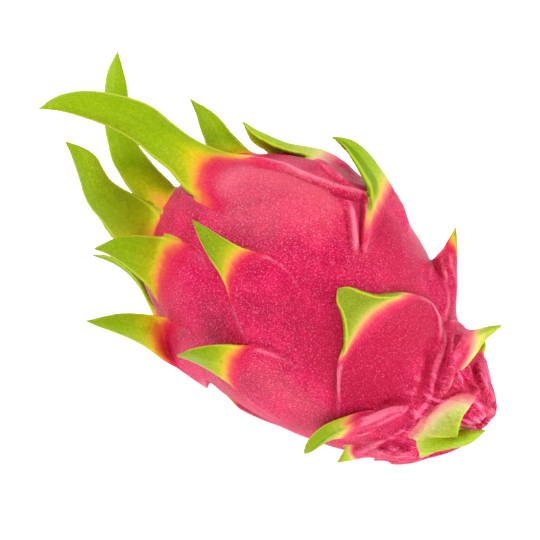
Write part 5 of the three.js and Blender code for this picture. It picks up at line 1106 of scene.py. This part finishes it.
# painted shade on the inner face of a scale, the side that faces the body
inner_face_shade = m.math("MULTIPLY", m.math("MULTIPLY", m.attr("inner"), m.range(turning, 0.5, 0.8)), m.range(m.attr("whitish"), 0.0, 0.5, 1.0, 0.2))
leaf = m.mix(m.math("MULTIPLY", inner_face_shade, 0.55), leaf, colour(104, 150, 0))
leaf = m.mix(m.math("MULTIPLY", m.math("MULTIPLY", m.range(grain, 0.5, 0.72), grown), 0.3), leaf, colour(224, 226, 30))
# painted shade on the shaded half of a folded scale
half = m.math("MULTIPLY", m.range(m.attr("half_shade"), -0.03, 0.12), m.range(turning, 0.45, 0.7))
leaf = m.mix(m.math("MULTIPLY", half, 0.6), leaf, colour(92, 138, 0))
# painted shade in a dark line along the fold of a keeled scale
keel = m.math("MULTIPLY", m.math("MULTIPLY", m.range(m.attr("edge"), 0.10, 0.0), m.attr("keel")), m.range(turning, 0.4, 0.6))
leaf = m.mix(m.math("MULTIPLY", keel, 0.6), leaf, colour(84, 120, 0))
margin = m.attr("edge")
rim = m.math("MULTIPLY", m.math("MULTIPLY", m.range(margin, 0.80, 0.90), m.range(margin, 0.99, 0.93)), m.range(turning, 0.35, 0.7))
leaf = m.mix(m.math("MULTIPLY", rim, 0.55), leaf, colour(224, 228, 70))
leaf = m.mix(m.math("MULTIPLY", m.math("MULTIPLY", m.range(margin, 0.95, 0.995), m.range(turning, 0.35, 0.7)), 0.35), leaf, colour(120, 134, 20))
green = m.range(ripe, -0.45, -0.1)
base = m.mix(m.math("MULTIPLY", green, m.attr("on_scale")), skin, leaf)
# the dried flower's scar and the cut stem
dry = m.mix(m.range(fine, 0.35, 0.65), colour(96, 66, 40), colour(168, 132, 84))
base = m.mix(m.attr("navel"), base, dry)
base = m.mix(m.attr("stem_scar"), base, m.mix(m.range(fine, 0.3, 0.7), colour(150, 150, 84), colour(196, 186, 120)))
m.link(base, m.shader.inputs["Base Color"])
rough = m.math("ADD", m.range(mid, 0.3, 0.7, 0.40, 0.52), m.math("MULTIPLY", m.attr("navel"), 0.35))
m.link(rough, m.shader.inputs["Roughness"])
m.link(m.range(m.math("MULTIPLY", green, m.attr("on_scale")), 0.3, 1.0, 0.26, 0.14), m.shader.inputs["Specular IOR Level"])
m.link(m.range(m.math("MULTIPLY", green, m.attr("on_scale")), 0.3, 1.0, 0.07, 0.0), m.shader.inputs["Sheen Weight"])
m.shader.inputs["Sheen Roughness"].default_value = 0.45
m.shader.inputs["Sheen Tint"].default_value = colour(255, 214, 222)
m.shader.inputs["Subsurface Weight"].default_value = 0.12
m.shader.inputs["Subsurface Radius"].default_value = (1.0, 0.35, 0.25)
m.shader.inputs["Subsurface Scale"].default_value = 0.002
# pores and fine wrinkles
height = m.math("ADD", m.math("MULTIPLY", m.range(speck, 0.0, 0.6), -0.5), m.math("MULTIPLY", fine, 0.8))
height = m.math("ADD", height, m.math("MULTIPLY", m.noise(where, 420, 3, 0.6), 0.9))
height = m.math("ADD", height, m.math("MULTIPLY", m.math("SUBTRACT", crest, valley), 1.6))
height = m.math("ADD", height, m.math("MULTIPLY", m.math("MULTIPLY", streak, m.attr("on_scale")), 0.7))
bump = m.add("ShaderNodeBump", 0, Strength=0.5, Distance=0.00035, Height=height)
m.link(bump, m.shader.inputs["Normal"])
me.materials.append(m.material)
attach(fruit, "root")
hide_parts("dragon_fruit")

# ------------------------------------------------------------------ floor, light and camera
size = 3.0
floor = make_object("floor", [(-size, -size, 0), (size, -size, 0), (size, size, 0), (-size, size, 0)], np.array([[0, 1, 2, 3]]))
g = Nodes("floor")
spot = g.add("ShaderNodeTexCoord", "Object")
g.link(g.mix(g.noise(spot, 40, 3), colour(176, 176, 176), colour(182, 182, 182)), g.shader.inputs["Base Color"])
g.shader.inputs["Emission Color"].default_value = (1, 1, 1, 1)
g.shader.inputs["Emission Strength"].default_value = 0.74
g.shader.inputs["Roughness"].default_value = 0.9
g.shader.inputs["Specular IOR Level"].default_value = 0.1
floor.data.materials.append(g.material)

world = bpy.data.worlds.new("studio")
bpy.context.scene.world = world
world.use_nodes = True
world.node_tree.nodes["Background"].inputs[0].default_value = (1, 1, 1, 1)
world.node_tree.nodes["Background"].inputs[1].default_value = 0.25


def softbox(name, where, aim, size, power):
    data = bpy.data.lights.new(name, "AREA")
    data.energy, data.size = power, size
    ob = bpy.data.objects.new(name, data)
    bpy.context.scene.collection.objects.link(ob)
    ob.location = where
    ob.rotation_mode = "QUATERNION"
    ob.rotation_quaternion = (Vector(aim) - Vector(where)).to_track_quat("-Z", "Y")


middle = (-0.01, 0, 0.045)
softbox("key", (-0.35, -0.20, 0.75), middle, 0.32, 2.9)
softbox("glare", (-0.70, 0.18, 0.36), middle, 0.40, 1.6)
softbox("rim", (0.50, 0.42, 0.35), middle, 0.45, 1.6)
softbox("side", (0.70, -0.05, 0.30), middle, 0.4, 1.8)
softbox("fill", (0.30, -0.62, 0.34), middle, 0.5, 0.9)

camera = bpy.data.cameras.new("camera")
camera.lens, camera.sensor_width = 100, 36
view = bpy.data.objects.new("camera", camera)
bpy.context.scene.collection.objects.link(view)
azimuth, elevation = math.radians(38.5), math.radians(45)
back = Vector((math.sin(azimuth) * math.cos(elevation), -math.cos(azimuth) * math.cos(elevation), math.sin(elevation)))
view.location = (0.203365, -0.287356, 0.410764)
view.rotation_mode = "QUATERNION"
view.rotation_quaternion = (-back).to_track_quat("-Z", "Y")
bpy.context.scene.camera = view
bpy.context.scene.view_settings.view_transform = "Standard"
bpy.context.scene.view_settings.look = "Medium High Contrast"
